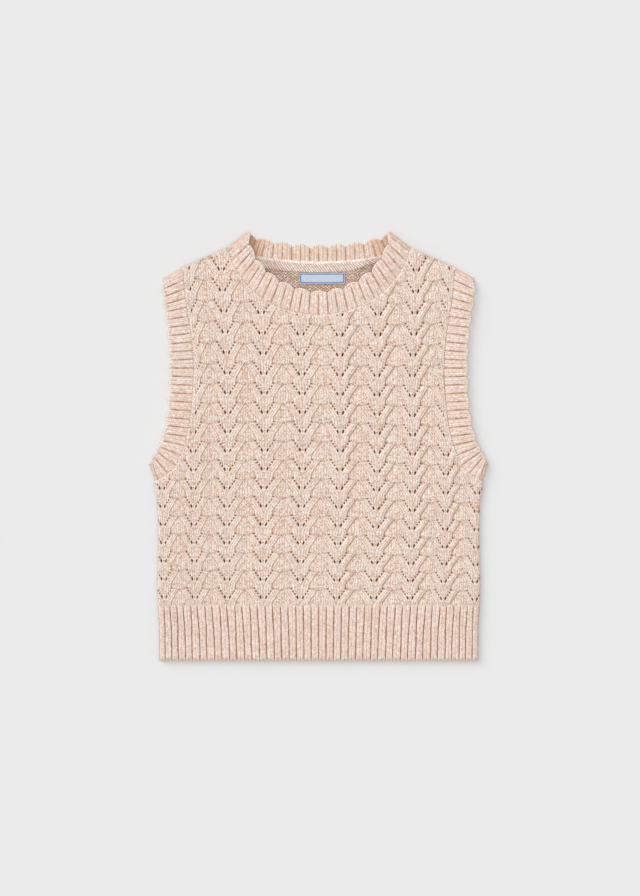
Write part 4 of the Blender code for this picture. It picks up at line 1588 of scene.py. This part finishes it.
def armhole_runs():
    rib = np.arange(ARM_RIBS * RIB_CORNERS + 1) / RIB_CORNERS
    edge, seam = band_pairs(armhole_edge, armhole_seam, rib / ARM_RIBS)
    front_run = BandRun(edge, seam, rib, UP, 0.0, front_walls(rib), 0.0,
                        scallops(rib, 0.0, ARM_SCALLOP), RIB_CREST)
    rib = rib[::-4]
    edge, seam = band_pairs(armhole_edge, armhole_seam, rib / ARM_RIBS)
    back_run = BandRun(edge, seam, 2 * ARM_RIBS + 1 - rib, -UP, 0.0, BACK_WALL, 0.0,
                       0.6 * scallops(rib, 1.0, ARM_SCALLOP))
    return ring_of(front_run, back_run, armhole_edge, armhole_seam, ARM_RIBS, 2 * ARM_RIBS,
                   0.0, 0.0)


armhole_right = band_ring("armhole-ribs-right", armhole_runs(), band_knit, "armhole_band_right")
armhole_left = band_ring("armhole-ribs-left", armhole_runs(), band_knit, "armhole_band_left", -1.0)

# %% [markdown]
# ## The back
#
# We only see the inside of the back, through the neck, where the loops of the knitting show as
# rows of small bumps. Its outside lies on the floor, so it stays flat. It could carry lace like
# the front, but none of that would show, so an even net and the purl material are enough. Towards
# the sides of the neck it lies in the shade of the front, so it is a little deeper in colour there.

# %% Back panel
BACK_STEP = 2.0
BACK_NET = ((-166.0, 166.0), (HEM_TOP - 1.0, 202.0))
BACK_ROUND = 2.6
BACK_LEAST = 0.3
back_outline = outline_half(BACK_SEAM, BACK_EDGE, HEM_TOP + 0.15)


def build_back():
    marks = [np.linspace(low, high, round((high - low) / BACK_STEP) + 1) for low, high in BACK_NET]
    x, y = net(*marks)
    rounded = round_over(side_half_width(y) - np.abs(x), BACK_ROUND, BACK_LEAST)
    top = BACK_WALL * mix(1.0, rounded, below_underarm(y))
    bm = knit_grid(len(marks[0]) - 1, len(marks[1]) - 1)
    map_knit(bm, np.stack([x, y], axis=2))
    # Painted shade of the front on the inside, deeper towards the corners of the neck and more on
    # the left.
    corner = ease(np.abs(x), 30.0, 72.0) * ease(y, 150.0, 185.0)
    mark_knit(bm, 0.02 + 0.4 * corner * np.where(x < 0, 1.0, 0.6), "painted_shade")
    place_knit(bm, np.stack([x, y, top], axis=2))
    trim_to(bm, back_outline)
    close_underneath(bm, 0.0)
    return finish_knit("back", bm, inside_knit, "back_panel")


back = build_back()

# %% Back hem
BACK_HEM_CORNERS = 4
BACK_HEM_LEVELS = 9


def build_back_hem():
    rib = np.arange(HEM_RIBS * BACK_HEM_CORNERS + 1) / BACK_HEM_CORNERS
    height = np.linspace(HEM_TOP, HEM_FOOT, BACK_HEM_LEVELS)
    x = hem_places(rib, height)
    rib, y = net(rib, height)
    top = BACK_WALL * round_over(side_half_width(y) - np.abs(x), BACK_ROUND, BACK_LEAST)
    bm = knit_grid(len(rib) - 1, BACK_HEM_LEVELS - 1)
    map_knit(bm, np.stack([rib, y - HEM_FOOT], axis=2))
    mark_even(bm, x.shape)
    place_knit(bm, np.stack([x, y, top], axis=2))
    close_underneath(bm, 0.0)
    return finish_knit("back-hem", bm, hem_knit, "back_hem_rib")


back_hem = build_back_hem()

# %% [markdown]
# ## Trim inside the neck
#
# A narrow knitted tape covers the seam at the back of the neck, and a small woven label is sewn
# under it. Both could be thin boxes, but a tape follows its seam and a label lies a little
# unevenly, so each is a thin grid bent along its place. The tape has a row of slanted stitches
# along its upper half and gets narrower where it runs to the right shoulder. The label is left
# plain: a pale ground, a thin blue border and a fine twill.

# %% Tape
TRIM_LOW = BACK_WALL + 0.3
TAPE_ABOVE, TAPE_BELOW = 5.4, 5.8
TAPE_HALF_SPAN = 78.0
TAPE_COLUMNS = 105
TAPE_ROWS = np.array((0.0, 0.5, 1.3, 3.4, 5.6, 7.8, 9.9, 10.7, 11.2))
TAPE_SWELL = np.array((0.0, 0.35, 0.75, 1.0, 0.86, 1.0, 0.85, 0.6, 0.25))
TAPE_NARROWING = 0.45


def tape_finish():
    material, tree, shader = new_shader("knitted tape", YARN_SHADER)
    along, across = split(tree, knit_place(tree))
    slant = maths(tree, "MULTIPLY_ADD", across, 0.75, along)
    stitches = use_group(tree, STITCHES, Wale=maths(tree, "DIVIDE", slant, 5.2),
                         Course=maths(tree, "DIVIDE", across, 3.4))
    # The gaps between the slanted stitches and both ends of the tape, where it runs under the band,
    # are painted in shade, and its upper edge gets a painted highlight.
    ticks = fade(tree, wave(tree, slant, 2.6), -0.3, 0.8)
    ticks = maths(tree, "MULTIPLY", ticks, fade(tree, across, 8.2, 9.4, 0.8, 0.0))
    to_end = maths(tree, "ABSOLUTE", maths(tree, "ADD", along, -5.0))
    ticks = maths(tree, "ADD", ticks, fade(tree, to_end, 34.0, 54.0, 0.0, 0.35), clamp=True)
    cover_with_yarn(tree, shader, stitches, bump=0.8, Speckle=1.0, Cream=(1.0, 0.91, 0.85, 1.0),
                    Beige=(0.86, 0.70, 0.62, 1.0), Shade=(0.42, 0.285, 0.22, 1.0), Hollow=ticks,
                    Light=fade(tree, across, 8.4, 9.4, 0.0, 0.4))
    return material


def build_tape():
    share, across = net(np.linspace(-1.0, 1.0, TAPE_COLUMNS), TAPE_ROWS)
    x = TAPE_HALF_SPAN * share
    width = 1.0 - TAPE_NARROWING * ease(x, 25.0, 62.0)
    y = neck_height(BACK_SEAM, x) + TAPE_ABOVE - (TAPE_ABOVE + TAPE_BELOW - across) * width
    bm = knit_grid(TAPE_COLUMNS - 1, len(TAPE_ROWS) - 1)
    map_knit(bm, np.stack([x, across], axis=2))
    place_knit(bm, np.stack([x, y, TRIM_LOW + TAPE_SWELL + 0 * x], axis=2))
    close_underneath(bm, BACK_WALL + 0.03)
    return finish_knit("tape", bm, tape_finish(), "neck_tape")


tape = build_tape()

# %% Label
LABEL_SIZE = (45.0, 10.8)
LABEL_CENTRE = (3.4, 169.2)
LABEL_GRID = (36, 10)
LABEL_GROUND = (0.54, 0.62, 0.74, 1.0)
LABEL_LIGHT = (0.74, 0.80, 0.87, 1.0)
LABEL_BORDER = (0.06, 0.14, 0.42, 1.0)
WARP, WEFT = 0.55, 0.4


def label_finish():
    material, tree, shader = new_shader("woven label", {"Sheen Weight": 0.15, "Roughness": 0.55})
    x, y = split(tree, knit_place(tree))
    to_end, to_side = [
        maths(tree, "SUBTRACT", size / 2, maths(tree, "ABSOLUTE", place))
        for size, place in zip(LABEL_SIZE, (x, y))
    ]
    to_edge = maths(tree, "MINIMUM", to_end, to_side)
    border = maths(tree, "MULTIPLY", fade(tree, to_edge, 0.5, 0.7),
                   fade(tree, to_edge, 1.4, 1.6, 1.0, 0.0))
    twill = wave(tree, maths(tree, "ADD", x, y), WARP)
    weave = maths(tree, "MULTIPLY_ADD", wave(tree, y, WEFT), 0.5, twill)
    ground = blend(tree, fade(tree, weave, -1.5, 1.5, 0.0, 0.35), LABEL_GROUND, LABEL_LIGHT)
    connect(tree, blend(tree, border, ground, LABEL_BORDER), shader.inputs["Base Color"])
    raise_surface(tree, shader, weave, 0.5, 0.0002)
    return material


def build_label():
    columns, levels = LABEL_GRID
    x, y = net(np.linspace(-0.5, 0.5, columns + 1) * LABEL_SIZE[0],
               np.linspace(-0.5, 0.5, levels + 1) * LABEL_SIZE[1])
    bow = 0.5 * (x / LABEL_SIZE[0] * 2) ** 2 * (0.5 - y / LABEL_SIZE[1])
    z = TRIM_LOW + 0.75 + 0.2 * np.sin(x / 7.0)
    bm = knit_grid(columns, levels)
    map_knit(bm, np.stack([x, y], axis=2))
    place_knit(bm, np.stack([x + LABEL_CENTRE[0], y + LABEL_CENTRE[1] + bow, z], axis=2))
    close_underneath(bm, TRIM_LOW)
    return finish_knit("label", bm, label_finish(), "neck_label")


label = build_label()

# %% [markdown]
# ## Cloth facts
#
# The size that each piece was cut or knitted to, as a sheet of cloth that lies flat, is printed
# with its area. The bands are tubes, so their size is all the way round.

laid_cloth(back)
laid_cloth(back_hem)
laid_cloth(front)
laid_cloth(front_hem)
laid_cloth(neckband, band_size(neckband_runs()))
laid_cloth(armhole_right, band_size(armhole_runs()))
laid_cloth(armhole_left, band_size(armhole_runs()))
laid_cloth(tape)
laid_cloth(label)

# %% [markdown]
# ## Floor, light and camera
#
# The vest was photographed from straight above on a pale ground, with hardly any shadow. Three
# things light it here. A broad sun from the upper left shapes the stitches and leaves a short soft
# shadow on the right and below, a still broader sun from overhead fills them evenly, and a white
# surrounding lifts what both leave dark. Area lamps would do as well, but they fall off across the
# cloth, and suns don't. The camera looks straight down through a long lens, which keeps the sides
# of the ribs from showing.

# %% Floor
FLOOR_SIZE = 12.0


def build_floor():
    bm = bmesh.new()
    bmesh.ops.create_grid(bm, x_segments=1, y_segments=1, size=FLOOR_SIZE)
    material, _, _ = new_shader("pale ground", {
        "Base Color": (0.73, 0.73, 0.73, 1.0), "Roughness": 1.0, "Specular IOR Level": 0.0,
    })
    floor = finish_mesh("floor", bm, material)
    return floor


floor = build_floor()
print("floor, m:", 2 * FLOOR_SIZE, "square")

# %% Light
KEY_DIRECTION = Vector((0.66, -0.62, -0.50))


def add_sun(name, energy, angle):
    """A sun that shines straight down until it is turned."""
    data = bpy.data.lights.new(name, "SUN")
    data.energy = energy
    data.angle = math.radians(angle)
    return add_object(name, data)


key = add_sun("soft key", 1.45, 36.0)
key.rotation_mode = "QUATERNION"
key.rotation_quaternion = KEY_DIRECTION.to_track_quat("-Z", "Y")
add_sun("overhead", 1.135, 60.0)

world = bpy.data.worlds.new("studio")
bpy.context.scene.world = world
world.use_nodes = True
background = world.node_tree.nodes["Background"]
background.inputs["Color"].default_value = (1.0, 1.0, 1.0, 1.0)
background.inputs["Strength"].default_value = 0.555
bpy.context.scene.view_settings.view_transform = "Standard"
print("lights:", [light.name for light in bpy.data.lights])

# %% Camera
VIEW_HEIGHT = 0.896
VIEW_CENTRE = (0.00125, -0.0005)
VEST_TOP = 0.006
camera_data = bpy.data.cameras.new("camera")
camera_data.lens = 100.0
camera_data.sensor_width = 36.0
camera_data.clip_end = 20.0
camera = add_object("camera", camera_data)
distance = VIEW_HEIGHT * camera_data.lens / camera_data.sensor_width
camera.location = (*VIEW_CENTRE, VEST_TOP + distance)
bpy.context.scene.camera = camera
print("camera height, m:", round(camera.location.z, 3))
